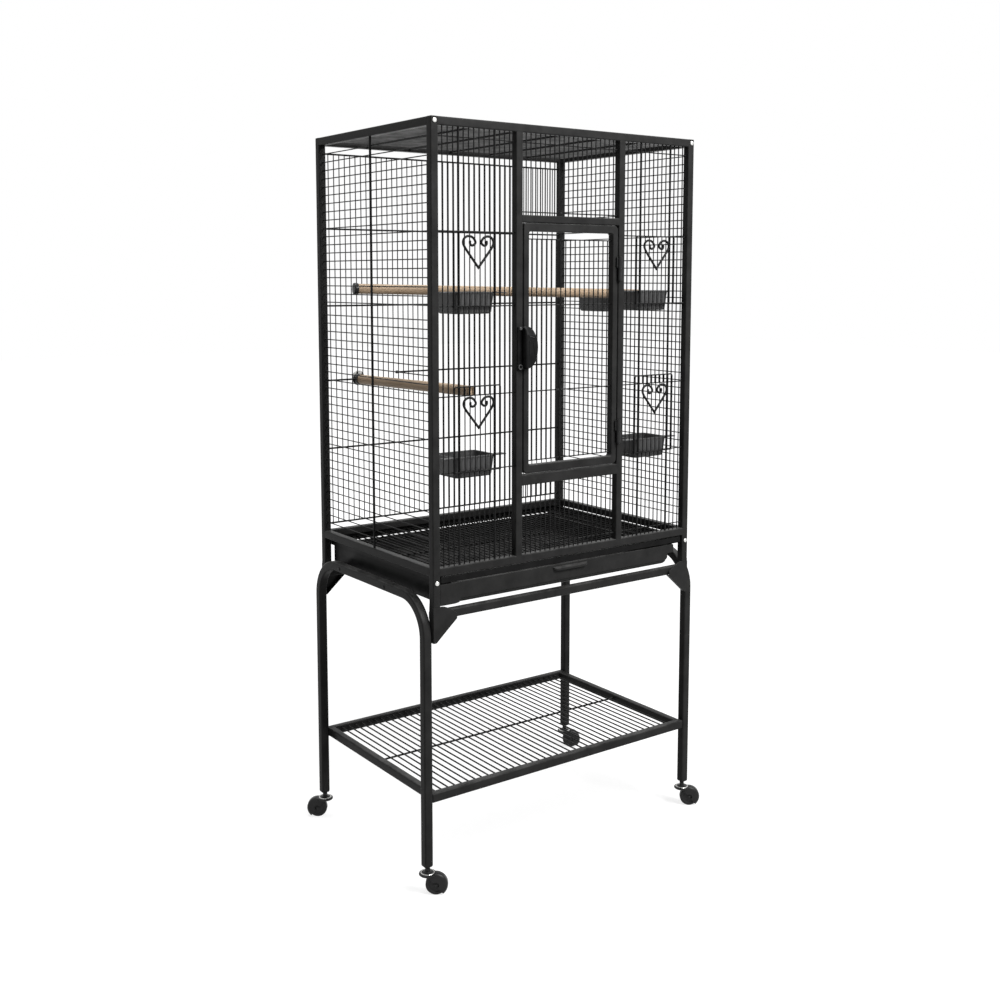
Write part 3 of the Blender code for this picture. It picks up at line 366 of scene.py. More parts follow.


# In every coat look, the third colour and its share are a paler tone mixed onto faces that look up: painted
# light from above.
powderLook = {
    "dark": (0.0160, 0.0159, 0.0158), "light": (0.0250, 0.0248, 0.0245), "paintedTopLight": (0.085, 0.084, 0.083),
    "paintedTopLightShare": 0.70, "roughness": 0.36, "roughSpread": 0.07, "specular": 0.05, "pebble": 1100.0,
    "driftSize": 24.0, "bump": 0.35, "depth": 0.00025,
}
wireLook = dict(powderLook, dark=(0.0095, 0.0095, 0.0096), light=(0.0160, 0.0160, 0.0161), driftSize=40.0)
# The roof wires' coat is the wire coat made several times lighter: painted light.
roofLitLook = dict(powderLook, dark=(0.0480, 0.0480, 0.0480), light=(0.1050, 0.1045, 0.1040), driftSize=30.0)
# The grate's coat is the powder coat made darker: painted shade; the runners share it.
grateShadedLook = dict(powderLook, dark=(0.0035, 0.0035, 0.0035), light=(0.0080, 0.0080, 0.0080), paintedTopLightShare=0.35,
                 specular=0.06)
# The latch's look: a darker base for painted shade, and a full pale tone on faces that look up for painted
# top light.
latchShadedLitLook = dict(powderLook, dark=(0.0030, 0.0030, 0.0031), light=(0.0085, 0.0085, 0.0087),
                 paintedTopLight=(0.160, 0.160, 0.162), paintedTopLightShare=1.0, roughness=0.42, specular=0.07)
plasticLook = {
    "dark": (0.0090, 0.0090, 0.0091), "light": (0.0140, 0.0140, 0.0141), "paintedTopLight": (0.040, 0.040, 0.041),
    "paintedTopLightShare": 0.4, "roughness": 0.36, "roughSpread": 0.07, "specular": 0.22, "pebble": 1800.0,
    "driftSize": 60.0, "bump": 0.22, "depth": 0.00015,
}
cupLook = {
    "dark": (0.0480, 0.0480, 0.0485), "light": (0.0660, 0.0660, 0.0665), "paintedTopLight": (0.090, 0.090, 0.090),
    "paintedTopLightShare": 0.3, "roughness": 0.42, "roughSpread": 0.06, "specular": 0.30, "pebble": 1500.0,
    "driftSize": 45.0, "bump": 0.20, "depth": 0.00015,
}
wheelLook = dict(plasticLook, dark=(0.0110, 0.0110, 0.0112), light=(0.0165, 0.0165, 0.0167), roughness=0.5)

powderCoat = coatMaterial("powderCoat", powderLook)
wireCoat = coatMaterial("wireCoat", wireLook)
blackPlastic = coatMaterial("blackPlastic", plasticLook)
cupPlastic = coatMaterial("cupPlastic", cupLook)
wheelPlastic = coatMaterial("wheelPlastic", wheelLook)
roofLitCoat = coatMaterial("roofLitCoat", roofLitLook)
latchShadedLitPlastic = coatMaterial("latchShadedLitPlastic", latchShadedLitLook)
grateShadedCoat = coatMaterial("grateShadedCoat", grateShadedLook)

woodLook = {"dark": (0.36, 0.255, 0.165), "light": (0.56, 0.435, 0.310), "streak": (0.86, 0.81, 0.76),
            "roughness": 0.55, "specular": 0.35, "fibre": (260.0, 260.0, 9.0), "band": (70.0, 110.0, 3.5),
            "bump": 0.5, "depth": 0.0003}


def woodMaterial(look):
    # Grain runs with the dowel: noise on the dowel's own coordinates, squeezed along its length.
    material, tree, shader = newMaterial("perchWood", look, specular=look["specular"])
    grain = addNode(tree, "ShaderNodeAttribute", {}, attribute_name="grain").outputs["Vector"]
    stretched = [addNode(tree, "ShaderNodeMapping", {"Vector": grain, "Scale": look[key]}).outputs["Vector"]
                 for key in ("fibre", "band")]
    fibres = noise(tree, stretched[0], 1.0, 5.0, Roughness=0.62)
    bands = noise(tree, stretched[1], 1.0, 2.0, Distortion=0.8)
    colors = []
    for value, stops in ((fibres, ((0.30, look["dark"]), (0.68, look["light"]))),
                         (bands, ((0.35, look["streak"]), (0.6, (1.0, 1.0, 1.0))))):
        ramp = addNode(tree, "ShaderNodeValToRGB", {"Fac": value})
        for element, (position, color) in zip(ramp.color_ramp.elements, stops):
            element.position, element.color = position, (*color, 1.0)
        colors.append(ramp.outputs["Color"])
    tree.links.new(mixTones(tree, 1.0, *colors, blend_type="MULTIPLY"), shader.inputs["Base Color"])
    addBump(tree, shader, fibres, look)
    return material


zincLook = {"dark": (0.52, 0.52, 0.50), "light": (0.78, 0.78, 0.76), "roughness": 0.30, "scratch": 1600.0,
            "tarnish": 280.0, "smoother": 0.1, "rougher": 0.12}


def metalMaterial(name, look):
    # Fine scratches for the roughness, a slow tarnish in the colour.
    material, tree, shader = newMaterial(name, look, metallic=1.0)
    place = addNode(tree, "ShaderNodeTexCoord", {}).outputs["Object"]
    roughness = ranged(tree, noise(tree, place, look["scratch"], 3.0), 0.0, 1.0,
                       look["roughness"] - look["smoother"], look["roughness"] + look["rougher"])
    tree.links.new(roughness, shader.inputs["Roughness"])
    tones = mixTones(tree, noise(tree, place, look["tarnish"], 3.0), look["dark"], look["light"])
    tree.links.new(tones, shader.inputs["Base Color"])
    return material


perchWood = woodMaterial(woodLook)
zincSteel = metalMaterial("zincSteel", zincLook)
print("materials made")

# cage tubes and side wires
cage = {
    "half": (0.31, 0.21), "tube": 0.015, "low": 0.53, "high": 1.38, "rail": (0.584, 0.599),
    "uprights": 0.1145, "sill": (0.728, 0.748), "header": (1.2066, 1.220), "corner": 0.0022, "bite": 0.0012,
    "endBevel": 0.0014,
    "foot": (0.0004, -0.0012, 0.006),  # a post's foot: set in, below the post, up into it
}
sideMesh = {
    "plane": 0.3022, "wire": 0.00105, "thick": 0.0023, "bracePlane": 0.3050, "braceY": 0.0035,
    "left": np.concatenate([np.linspace(0.6160, 1.0346, 27), np.linspace(1.0600, 1.3480, 19)]),
    "right": np.concatenate([np.linspace(0.6240, 1.0244, 27), [1.0400, 1.0555, 1.0680],
                             np.linspace(1.0810, 1.3325, 17), [1.3480]]),
}


def sideTubes(side):
    # Two posts, a top and a bottom rail between them, and a small foot under each post.
    halfX, halfY = cage["half"]
    t = cage["tube"]
    inner, outer = side * (halfX - t), side * halfX
    posts = [[(inner, s * (halfY - t), cage["low"]), (outer, s * halfY, cage["high"])] for s in (-1, 1)]
    reach = halfY - t + cage["bite"]
    rails = [[(inner, -reach, cage["high"] - t), (outer, reach, cage["high"])],
             [(inner, -reach, cage["rail"][0]), (outer, reach, cage["rail"][1])]]
    inset, below, into = cage["foot"]
    feet = [[(inner + side * inset, s * (halfY - t + inset), cage["low"] + below),
             (outer - side * inset, s * (halfY - inset), cage["low"] + into)] for s in (-1, 1)]
    return roundedBars(posts, cage["corner"], cage["endBevel"]) + roundedBars(rails + feet, cage["corner"])


def sideWires(side, rows):
    # Cross wires from post to post behind one upright brace.
    reach = cage["half"][1] - cage["tube"] + cage["bite"]
    brace = (cage["rail"][1] - cage["bite"], cage["high"] - cage["tube"] + cage["bite"])
    return [wires((side * sideMesh["plane"],), (-reach, reach), (rows,), sideMesh["wire"]),
            wires((side * sideMesh["bracePlane"],), (sideMesh["braceY"],), brace, sideMesh["thick"], 12)]


sides = (("left", -1), ("right", 1))
for sideName, side in sides:
    addPiece(sideName + "_side_tubes", sideTubes(side), powderCoat, [sideName + "_side_panel"])
    addPiece(sideName + "_side_wires", sideWires(side, sideMesh[sideName]), wireCoat, weighted=False)


def railTubes(y0, y1):
    # The top and the bottom rail between two posts.
    reach = cage["half"][0] - cage["tube"] + cage["bite"]
    return [[(-reach, y0, cage["high"] - cage["tube"]), (reach, y1, cage["high"])],
            [(-reach, y0, cage["rail"][0]), (reach, y1, cage["rail"][1])]]


def frontTubes():
    # The two rails, the header and the sill over and under the door, and two uprights between the rails.
    t, bite, u = cage["tube"], cage["bite"], cage["uprights"]
    y0, y1 = -cage["half"][1], -cage["half"][1] + t
    bars = railTubes(y0, y1)
    bars += [[(-u - bite, y0, cage[bar][0]), (u + bite, y1, cage[bar][1])] for bar in ("header", "sill")]
    bars += [[(s * u, y0, cage["rail"][1] - bite), (s * (u + t), y1, cage["high"] - t + bite)]
             for s in (-1, 1)]
    return roundedBars(bars, cage["corner"])


addPiece("front_tubes", frontTubes(), powderCoat, ["front_frame"])

# wire fields
fields = {
    "frontY": -0.2041, "backY": -0.2025, "wire": 0.00115, "rowWire": 0.00110, "guide": 0.0021, "bite": 0.001,
    "guideForward": 0.0002, "guideReach": 0.0386, "center": 0.21225, "bay": (0.1295, 0.295), "inside": 6,
    "outside": 3, "lowerOpening": (0.765, 0.900), "upperOpening": (1.058, 1.188),
    "rows": (0.6115, 0.7655, 0.9005, 1.0580, 1.1880, 1.3485),
    "plain": {"over_door": {"span": (1.219, 1.366), "rows": (1.2255, 1.3485), "wires": 20},
              "under_door": {"span": (0.598, 0.729), "rows": (0.6115,), "wires": 19}},
}


def between(start, end, count):
    # Evenly spaced places between two ends, without the ends.
    return np.linspace(start, end, count + 2)[1:-1]


def feederField(side):
    # Uprights between the two guides stop at both openings; those beside the guides run through.
    bite = fields["bite"]
    low, high = cage["rail"][1] - bite, cage["high"] - cage["tube"] + bite
    bay = sorted(side * edge for edge in fields["bay"])
    guides = side * fields["center"] + fields["guideReach"] * np.array([-1, 1])
    outer = np.concatenate([between(bay[0], guides[0], fields["outside"]),
                            between(guides[1], bay[1], fields["outside"])])
    inner = between(*guides, fields["inside"])
    spans = [(low, fields["lowerOpening"][0]), (fields["lowerOpening"][1], fields["upperOpening"][0]),
             (fields["upperOpening"][1], high)]
    front = (fields["frontY"],)
    shells = [wires((outer,), front, (low, high), fields["wire"])]
    shells += [wires((inner,), front, span, fields["wire"]) for span in spans]
    guideY, rows = (fields["frontY"] - fields["guideForward"],), (fields["rows"],)
    return shells + [wires((guides,), guideY, (low, high), fields["guide"], 12),
                     wires((bay[0] - bite, bay[1] + bite), (fields["backY"],), rows, fields["rowWire"])]


for sideName, side in sides:
    addPiece("front_wires_" + sideName + "_field", feederField(side), wireCoat, ["front_wires_" + sideName],
             weighted=False)


def plainField(own):
    # Evenly spaced uprights between the door's two posts, tied by rods.
    x = between(-cage["uprights"], cage["uprights"], own["wires"])
    reach = cage["uprights"] + fields["bite"]
    return [wires((x,), (fields["frontY"],), own["span"], fields["wire"]),
            wires((-reach, reach), (fields["backY"],), (own["rows"],), fields["rowWire"])]


for fieldName, own in fields["plain"].items():
    addPiece(fieldName + "_field", plainField(own), wireCoat, ["front_wires_" + fieldName], weighted=False)

rear = {
    "wire": 0.00105, "outY": 0.2041, "inY": 0.2018, "rod": 0.0018, "reach": 0.296, "bite": 0.001,
    "rows": (0.6120, 0.7650, 1.0520, 1.2040, 1.3500),
    "perchRow": ((-0.296, -0.2225, 0.9027), (-0.1330, 0.296, 0.9127)),
    # stretches of evenly spaced uprights: the first, the last, and how many
    "uprights": ((-0.2855, -0.0668, 19), (-0.0668, -0.0171, 5), (-0.0148, 0.1622, 14), (0.1622, 0.2238, 6),
                 (0.2238, 0.2795, 5)),
    "knob": ((0.0018, 0.0), (0.0030, 0.0006), (0.0032, 0.0030), (0.0030, 0.0056), (0.0018, 0.0062)),
    "knobBack": 0.0030,
}


def rearPanel():
    # Fine uprights between the lowest and the highest rod; the rod at the perch is in two lengths.
    # The second and the fourth stretch leave out their ends, which belong to their neighbours.
    x = np.concatenate([np.linspace(*stretch)[skip:-skip or None]
                        for stretch, skip in zip(rear["uprights"], (0, 1, 0, 1, 0))])
    rows, inY = rear["rows"], (rear["inY"],)
    shells = [wires((x,), (rear["outY"],), (rows[0] - rear["bite"], rows[-1] + rear["bite"]), rear["wire"]),
              wires((-rear["reach"], rear["reach"]), inY, (rows,), rear["rod"], 10)]
    for startX, endX, z in rear["perchRow"]:
        shells.append(wires((startX, endX), inY, (z,), rear["rod"], 10))
    return shells + [turned(rear["knob"], (startX - rear["knobBack"], rear["inY"], z), (1, 0, 0), 16)]


rearRails = railTubes(cage["half"][1] - cage["tube"], cage["half"][1])
addPiece("rear_tubes", roundedBars(rearRails, cage["corner"]), powderCoat, ["rear_panel"])
addPiece("rear_wires", rearPanel(), wireCoat, weighted=False)

roof = {"halfY": 0.195, "wires": 31, "reach": 0.296, "wireZ": 1.3733, "wire": 0.00115,
        "bars": (-0.2, -0.1, 0.0, 0.1, 0.2), "barReach": 0.196, "barZ": 1.3708, "bar": 0.0024}
roofWires = wires((-roof["reach"], roof["reach"]), (between(-roof["halfY"], roof["halfY"], roof["wires"]),),
                  (roof["wireZ"],), roof["wire"])
roofBars = wires((roof["bars"],), (-roof["barReach"], roof["barReach"]), (roof["barZ"],), roof["bar"], 12)
# The roof wires take a lighter copy of the coat: painted light.
addPiece("roof_wires", [roofWires], roofLitCoat, ["roof_panel"], weighted=False)
addPiece("roof_bars", [roofBars], wireCoat, weighted=False)
print("cage frame and wire fields made")

# door
door = {
    "outer": ((-0.1125, 0.750), (0.1125, 1.206)), "inner": ((-0.100, 0.765), (0.100, 1.191)),
    "outerRadius": 0.0085, "innerRadius": 0.0045, "y": -0.2025, "halfDepth": 0.0075, "edge": 0.0022,
    "wires": 17, "wireReach": 0.0905, "rows": (0.7725, 0.9005, 1.0580, 1.1775), "rowReach": 0.1012,
}


def doorFrame():
    # The tube's section is spanned between an outer and an inner rounded loop, with rounded long edges.
    outer = roundedLoop(*door["outer"], door["outerRadius"], 7)
    inner = roundedLoop(*door["inner"], door["innerRadius"], 7)
    rings = []
    for out, into in zip(outer, inner):
        width = np.linalg.norm(out - into)
        flat = roundedSection(width / 2, door["halfDepth"], door["edge"])
        plane = (out + into) / 2 + flat[:, :1] * (out - into) / width
        rings.append(np.column_stack([plane[:, 0], flat[:, 1] + door["y"], plane[:, 1]]))
    return ringShell(np.array(rings), closedPath=True)


def doorWires():
    # Evenly spaced uprights from the lowest to the highest rod, and the rods behind them.
    x = np.linspace(-door["wireReach"], door["wireReach"], door["wires"])
    rows, bite = door["rows"], fields["bite"]
    return [wires((x,), (fields["frontY"],), (rows[0] - bite, rows[-1] + bite), fields["wire"]),
            wires((-door["rowReach"], door["rowReach"]), (fields["backY"],), (rows,), fields["rowWire"])]


addPiece("door_tube", [doorFrame()], powderCoat, ["door"], "door")
addPiece("door_wires", doorWires(), wireCoat, body="door", weighted=False)

# hinges
hinge = {"axis": (0.1135, -0.2148), "radius": 0.0042, "bevel": 0.0007, "leaf": 0.0070, "leafInset": 0.0015,
         "leafY": (-0.2143, -0.2103), "half": 0.0230, "gap": 0.0004,
         "lows": {"lower": 0.7895, "upper": 1.1020}}


def barrel(low, high):
    # A cylinder on the hinge's axis with both rims drawn in.
    r, b = hinge["radius"], hinge["bevel"]
    return turned([(r - b, low), (r - b * 0.3, low + b * 0.3), (r, low + b), (r, high - b),
                   (r - b * 0.3, high - b * 0.3), (r - b, high)], (*hinge["axis"], 0.0), (0, 0, 1), 28)


def hingeLeaf(low, high, side):
    # A thin leaf beside the barrel, toward the door or the frame.
    x, inset = hinge["axis"][0], hinge["leafInset"]
    box = [(x, hinge["leafY"][0], low + inset), (x + side * hinge["leaf"], hinge["leafY"][1], high - inset)]
    return roundedBars([box], 0.0012, 0.0008)


for hingeName, low in hinge["lows"].items():
    axis = (*hinge["axis"], 0)
    middle, top = low + hinge["half"], low + 2 * hinge["half"]
    foot = turned([(0.0026, low - 0.0009), (0.0032, low - 0.0003), (0.0032, low + 0.001)], axis, (0, 0, 1))
    pin = turned([(0.0019, middle - 0.002), (0.0019, top + 0.0006), (0.0012, top + 0.0011)], axis, (0, 0, 1))
    knuckle, sleeve = hingeName + "_hinge_knuckle", hingeName + "_hinge_sleeve"
    sleeveLow = middle + hinge["gap"]
    addPiece(knuckle + "_body", [barrel(low, middle)] + hingeLeaf(low, middle, 1) + [foot, pin],
             blackPlastic, [knuckle])
    addPiece(sleeve + "_body", [barrel(sleeveLow, top)] + hingeLeaf(sleeveLow, top, -1),
             blackPlastic, [sleeve], "door")

# latch
latch = {
    "base": ((-0.1278, 0.9405), (-0.1148, 1.0205)), "baseY": (-0.2133, -0.2103), "baseCorner": 0.0040,
    "ring": (-0.1233, 0.947), "lug": (-0.1221, 1.0165), "leverLeft": -0.1190, "leverWidth": 0.029,
    "heel": 0.0035, "middle": 0.982, "half": 0.0385, "leverY": (-0.2262, -0.2151), "hub": 0.0175,
    # ribs round the thumb hollow and a slot's lip near the foot, from the lever's left and middle
    "ribs": ((0.0065, 0.021, 0.0195, 0.017), (0.0075, 0.012, 0.0075, -0.014), (0.0160, 0.010, 0.0190, -0.010),
             (0.0135, -0.024, 0.0135, -0.033)), "rib": 0.0010,
}


def latchBase():
    # A rounded plate, its front edge drawn in, with a dished boss at its foot.
    back, front = latch["baseY"][1], latch["baseY"][0]
    rings = []
    for y, inset in ((back, 0.0), (front + 0.0008, 0.0), (front + 0.0002, 0.0003), (front, 0.0009)):
        low, high = np.array(latch["base"][0]) + inset, np.array(latch["base"][1]) - inset
        rings.append(upright(roundedLoop(low, high, latch["baseCorner"] - inset, 6), y))
    x, z = latch["ring"]
    boss = [(0.0045, 0.0), (0.0045, 0.0011), (0.0040, 0.0015), (0.0030, 0.0015), (0.0026, 0.0011),
            (0.0022, 0.0006)]
    return [ringShell(np.array(rings)), turned(boss, (x, front + 0.0003, z), (0, -1, 0), 28)]


def leverOutline(inset, lean):
    # A half moon: straight at the left, an ellipse at the right, drawn in by the inset; its top leans back.
    left, heel, half = latch["leverLeft"], latch["heel"], latch["half"] - inset
    angles = np.radians(np.linspace(-90, 90, 33))
    x = left + heel + (latch["leverWidth"] - heel - inset) * np.cos(angles) ** 0.85
    z = latch["middle"] + half * np.sin(angles) - lean * np.clip(np.sin(angles) - 0.55, 0, 1) * 2.2
    straight = [[left + inset, latch["middle"] + half - 0.0018 - lean],
                [left + inset, latch["middle"] - half + 0.0018]]
    return np.vstack([np.column_stack([x, z]), straight])


def latchLever():
    # Outlines stacked from the back to the front, with a hub behind and ribs on the face.
    front, back = latch["leverY"]
    steps = ((back, 0.0006, 0.0), (back - 0.0006, 0.0, 0.0), (front + 0.0050, 0.0, 0.0),
             (front + 0.0016, 0.0010, 0.0105), (front + 0.0004, 0.0024, 0.0120), (front, 0.0040, 0.0120))
    rings = [upright(leverOutline(inset, lean), y) for y, inset, lean in steps]
    x, z = latch["leverLeft"], latch["middle"]
    hub = turned([(0.0040, 0.0), (0.0040, 0.0050)], (x + latch["hub"], back - 0.0002, z), (0, 1, 0), 20)
    startX, startZ, endX, endZ = np.transpose(latch["ribs"])
    ribs = wires((x + startX, x + endX), (front + 0.0003,), (z + startZ, z + endZ), latch["rib"], 10)
    return [ringShell(np.array(rings)), hub, ribs]


def latchScrew():
    # A washer at the foot of the base, and a small lug at its top.
    (x, z), (lugX, lugZ), front = latch["ring"], latch["lug"], latch["baseY"][0]
    washer = [(0.0029, 0.0), (0.0048, 0.0), (0.0050, 0.0009), (0.0046, 0.0016), (0.0036, 0.0018),
              (0.0030, 0.0010)]
    lug = [(0.0030, 0.0), (0.0030, 0.0016), (0.0020, 0.0024)]
    return [turned(washer, (x, front - 0.0008, z), (0, -1, 0), 28, ring=True),
            turned(lug, (lugX, front + 0.0004, lugZ), (0, -1, 0), 20)]


# Latch base and lever take the latch look: painted shade with painted top light.
addPiece("latch_base_plate", latchBase(), latchShadedLitPlastic, ["latch_base"])
addPiece("latch_screw", latchScrew(), cupPlastic)
addPiece("latch_half_moon", latchLever(), latchShadedLitPlastic, ["latch_lever"], "latch_lever")
print("door, hinges and latch made")

# feeder doors with hearts
feeder = {
    "middleY": -0.20675, "lap": 0.0144, "width": 0.073, "rise": {"lower": 0.018, "upper": 0.0010},
    "drop": 0.0015, "corner": 0.004, "frameWire": 0.00130, "wire": 0.00105, "wires": 8,
    "heartTop": {"lower": 0.0005, "upper": 0.0060}, "heartRod": (0.0022, 0.0020), "heartY": -0.2096,
    "heartHalf": 0.0345,
}
heartHalf = np.array([  # in millimetres, from the tip up round the lobe and into the scroll
    (0.0, -58.0), (8.0, -48.2), (16.0, -38.4), (24.0, -28.6), (30.5, -20.0), (33.7, -12.5), (32.0, -5.6),
    (27.0, -1.2), (20.4, 0.0), (13.4, -1.9), (8.4, -6.6), (6.5, -11.6), (8.8, -15.0), (12.6, -17.0),
    (16.2, -16.6), (18.4, -13.8), (18.6, -10.4), (17.4, -8.0),
]) / 1000.0


def heart(center, top):
    # Both halves as one rod from scroll to scroll, smooth through the lobes and sharp at the tip.
    half = smoothThrough(heartHalf, 5)
    wide, tall = heartHalf[:, 0].max(), -heartHalf[0, 1]
    flat = np.vstack([half[:0:-1] * [-1, 1], half])
    rod = feeder["heartRod"]
    stretch = [(feeder["heartHalf"] - rod[0]) / wide, (tall - 1.6 * rod[0]) / tall]
    flat = flat * stretch + [center, top - rod[0]]
    scale = np.ones(len(flat))
    scale[[0, -1]], scale[[1, -2]] = 0.35, 0.85
    return sweptPath(upright(flat, feeder["heartY"]), circleSection(*rod, 12), (0, 1, 0), scale=scale)


def feederDoor(center, opening, rise, heartTop):
    # A bent frame with two round upper corners, uprights in line with the field's, and the heart.
    r, c = feeder["frameWire"], feeder["corner"]
    reach = feeder["width"] / 2 + feeder["lap"] - r
    lowX, highX = center - reach, center + reach
    lowZ, highZ = opening[0] - feeder["drop"] + r, opening[1] + rise - r
    flat = np.vstack([
        [[lowX, lowZ]], arcPoints(lowX + c, highZ - c, c, 180, 90, 8),
        arcPoints(highX - c, highZ - c, c, 90, 0, 8), [[highX, lowZ]],
    ])
    step = 2 * fields["guideReach"] / (fields["inside"] + 1)
    x = center + step * (np.arange(feeder["wires"]) - (feeder["wires"] - 1) / 2)
    return [sweptPath(upright(flat, feeder["middleY"]), circleSection(r, r, 10), (0, 1, 0), closed=True),
            wires((x,), (feeder["middleY"],), (lowZ, highZ), feeder["wire"]),
            heart(center, opening[1] - heartTop)]


for levelName in ("lower", "upper"):
    for sideName, side in sides:
        node = levelName + "_feeder_door_" + sideName
        shells = feederDoor(side * fields["center"], fields[levelName + "Opening"], feeder["rise"][levelName],
                            feeder["heartTop"][levelName])
        addPiece(node + "_wires", shells, wireCoat, [node], node, weighted=False)

# cups
cup = {"width": 0.088, "depth": 0.070, "height": 0.039, "taper": 0.0035, "wall": 0.002, "rim": 0.001,
       "corner": 0.010, "floorCorner": 0.0045, "rimHeight": 0.003, "wing": 0.024, "wingDepth": 0.016,
       "wingThickness": 0.0020, "setBack": 0.0006}
cupPlaces = {
    "lower_cup_left": ((-0.21225, -0.2017, 0.752), 0.0), "lower_cup_right": ((0.21225, -0.2017, 0.752), 0.0),
    "upper_cup_left": ((-0.21225, -0.2017, 1.044), 0.0), "upper_cup_right": ((0.21225, -0.2017, 1.044), 0.0),
    "side_cup": ((0.3012, 0.014, 1.037), 90.0),
}


def roundSteps(radius, degrees, height=0.0, inset=0.0):
    # Steps of (height, inset) up a quarter round between a floor and a wall.
    angles = np.radians(degrees)
    return np.column_stack([height + radius * (1 - np.cos(angles)), inset + radius * (1 - np.sin(angles))])


def cupShells():
    # Rounded rectangles stacked up the outside, over the rim and down the inside to the floor.
    w, d, h = cup["width"] / 2, cup["depth"] / 2, cup["height"]
    f, wall, rim, rimLow = cup["floorCorner"], cup["wall"], cup["rim"], h - cup["rimHeight"]

    def loop(z, inset, extra=0.0):
        shrink = cup["taper"] * (h - z) / h + inset - extra
        corner = max(cup["corner"] - inset * 0.8, 0.002)
        return level(roundedLoop((-w + shrink, -d + shrink), (w - shrink, d - shrink), corner, 7) + [0, d], z)

    steps = [*roundSteps(f, (0, 22, 45, 68, 90)), (h * 0.5, 0.0), (rimLow - 0.0008, 0.0),
             (rimLow, 0.0, rim * 0.7), (rimLow + 0.0004, 0.0, rim), (h - 0.0006, 0.0, rim),
             (h, 0.0, rim * 0.4), (h, wall * 0.6),
             (h - 0.0006, wall), (h * 0.75, wall), (h * 0.5, wall), (h * 0.3, wall),
             *roundSteps(f - wall * 0.3, (90, 68, 45, 22, 0), wall, wall)]
    wingZ, half = h - cup["rimHeight"] / 2, cup["wingThickness"] / 2
    wings = [[(s * (w - 0.001), 0.0004, wingZ - half),
              (s * (w + cup["wing"]), cup["wingDepth"], wingZ + half)] for s in (-1, 1)]
    return [ringShell(np.array([loop(*step) for step in steps]))] + roundedBars(wings, 0.0009, 0.0008)


for node, (place, turnDegrees) in cupPlaces.items():
    turn = turnAboutZ(turnDegrees)
    offset = np.array(place) + turn @ np.array([0, cup["setBack"], 0])
    addPiece(node + "_body", placed(cupShells(), turn, offset), cupPlastic, [node])
print("feeder doors and cups made")

# perches
perch = {"radius": 0.0095, "capRadius": 0.0112, "capLength": 0.0090, "chamfer": 0.0009}
perchEnds = {"upper_perch": ((-0.2984, 0.085, 1.087), (0.2984, -0.070, 1.074)),
             "lower_perch": ((-0.2225, 0.2014, 0.902), (-0.2225, -0.2014, 0.908))}


def perchDowel(start, along, length):
    # From the cap to the bare end, a little uneven along its length, with a small chamfer at the bare end.
    reach = length - perch["capLength"]
    z = np.append(np.linspace(0, reach - perch["chamfer"], 41), reach)
    sway = 1 + 0.012 * np.sin(z * 61.0) + 0.008 * np.sin(z * 143.0 + 1.0)
    sway[-1] -= 0.09
    return turned(np.column_stack([perch["radius"] * sway, z]), start + along * perch["capLength"], along, 32)


def addGrain(obj, start, along):
    # The dowel's own coordinates: two across it and one along it.
    points = np.empty(len(obj.data.vertices) * 3)
    obj.data.vertices.foreach_get("co", points)
    points = points.reshape(-1, 3) - start
    across = np.cross(along, [0.0, 0.0, 1.0])
    across /= np.linalg.norm(across)
    own = np.column_stack([points @ across, points @ np.cross(across, along), points @ along])
    grain = obj.data.attributes.new("grain", "FLOAT_VECTOR", "POINT")
    grain.data.foreach_set("vector", own.ravel().astype(np.float32))


def perchCap(end, inward):
    # A cup turned about the perch, with a step past its middle.
    r, c = perch["capRadius"], perch["capLength"]
    profile = [(r * 0.55, 0.0), (r * 0.85, 0.0), (r * 0.95, 0.0004), (r, 0.0016), (r, c * 0.55),
               (r * 0.97, c * 0.6), (r * 0.97, c - 0.0006), (r * 0.93, c)]
    return turned(profile, end, inward, 32)


for name, ends in perchEnds.items():
    start, end = np.array(ends)
    length = np.linalg.norm(end - start)
    along = (end - start) / length
    dowel = addPiece(name + "_dowel", [perchDowel(start, along, length)], perchWood, [name],
                     weighted=False)
    addGrain(dowel, start, along)
    addPiece(name + "_cap_body", [perchCap(start, along)], blackPlastic, [name + "_cap"])

wing = {"x": -0.2225, "z": 0.9045, "washerY": 0.2053, "nutY": 0.2066, "reach": 0.0125, "rootY": 0.2068,
        "crestY": 0.2072, "crest": 0.0075, "thick": 0.0011}


def wingNut():
    # A wide washer outside the rear wires, and a nut with two wings: sections from wing tip to wing tip,
    # each thinner toward its tip, under a crest that rises with the distance from the middle.
    x, z = wing["x"], wing["z"]
    washer = turned([(0.0145, 0.0), (0.0150, 0.0004), (0.0150, 0.0010), (0.0145, 0.0013)],
                    (x, wing["washerY"], z), (0, 1, 0), 36)
    nut = turned([(0.0052, 0.0), (0.0050, 0.0030), (0.0036, 0.0050)], (x, wing["nutY"], z), (0, 1, 0), 24)
    u = np.linspace(-1, 1, 21)
    crest = wing["crestY"] + wing["crest"] * np.abs(u) ** 1.4
    root = wing["rootY"] + 0.0035 * np.clip(np.abs(u) - 0.35, 0, 1)
    thick = wing["thick"] * (1 - 0.75 * np.abs(u) ** 6)
    midX, rise = x + wing["reach"] * u * 0.5, z + wing["reach"] * u
    corners = [(midX, root, rise - thick * 0.3), (midX + thick, root, rise), (midX + thick, crest, rise),
               (midX - thick, crest, rise), (midX - thick, root, rise)]
    return [washer, nut, ringShell(np.stack([np.column_stack(corner) for corner in corners], axis=1))]


addPiece("perch_wing_nut", wingNut(), zincSteel)
print("perches made")

# grate, tray and runners
grate = {"x": 0.292, "y": 0.207, "bar": (0.5703, 0.5820), "barDepth": 0.006, "wires": 44, "wire": 0.00125,
         "wireZ": 0.5782, "cross": 0.0016, "crossZ": 0.5756, "crossY": (-0.14, 0.0, 0.14)}


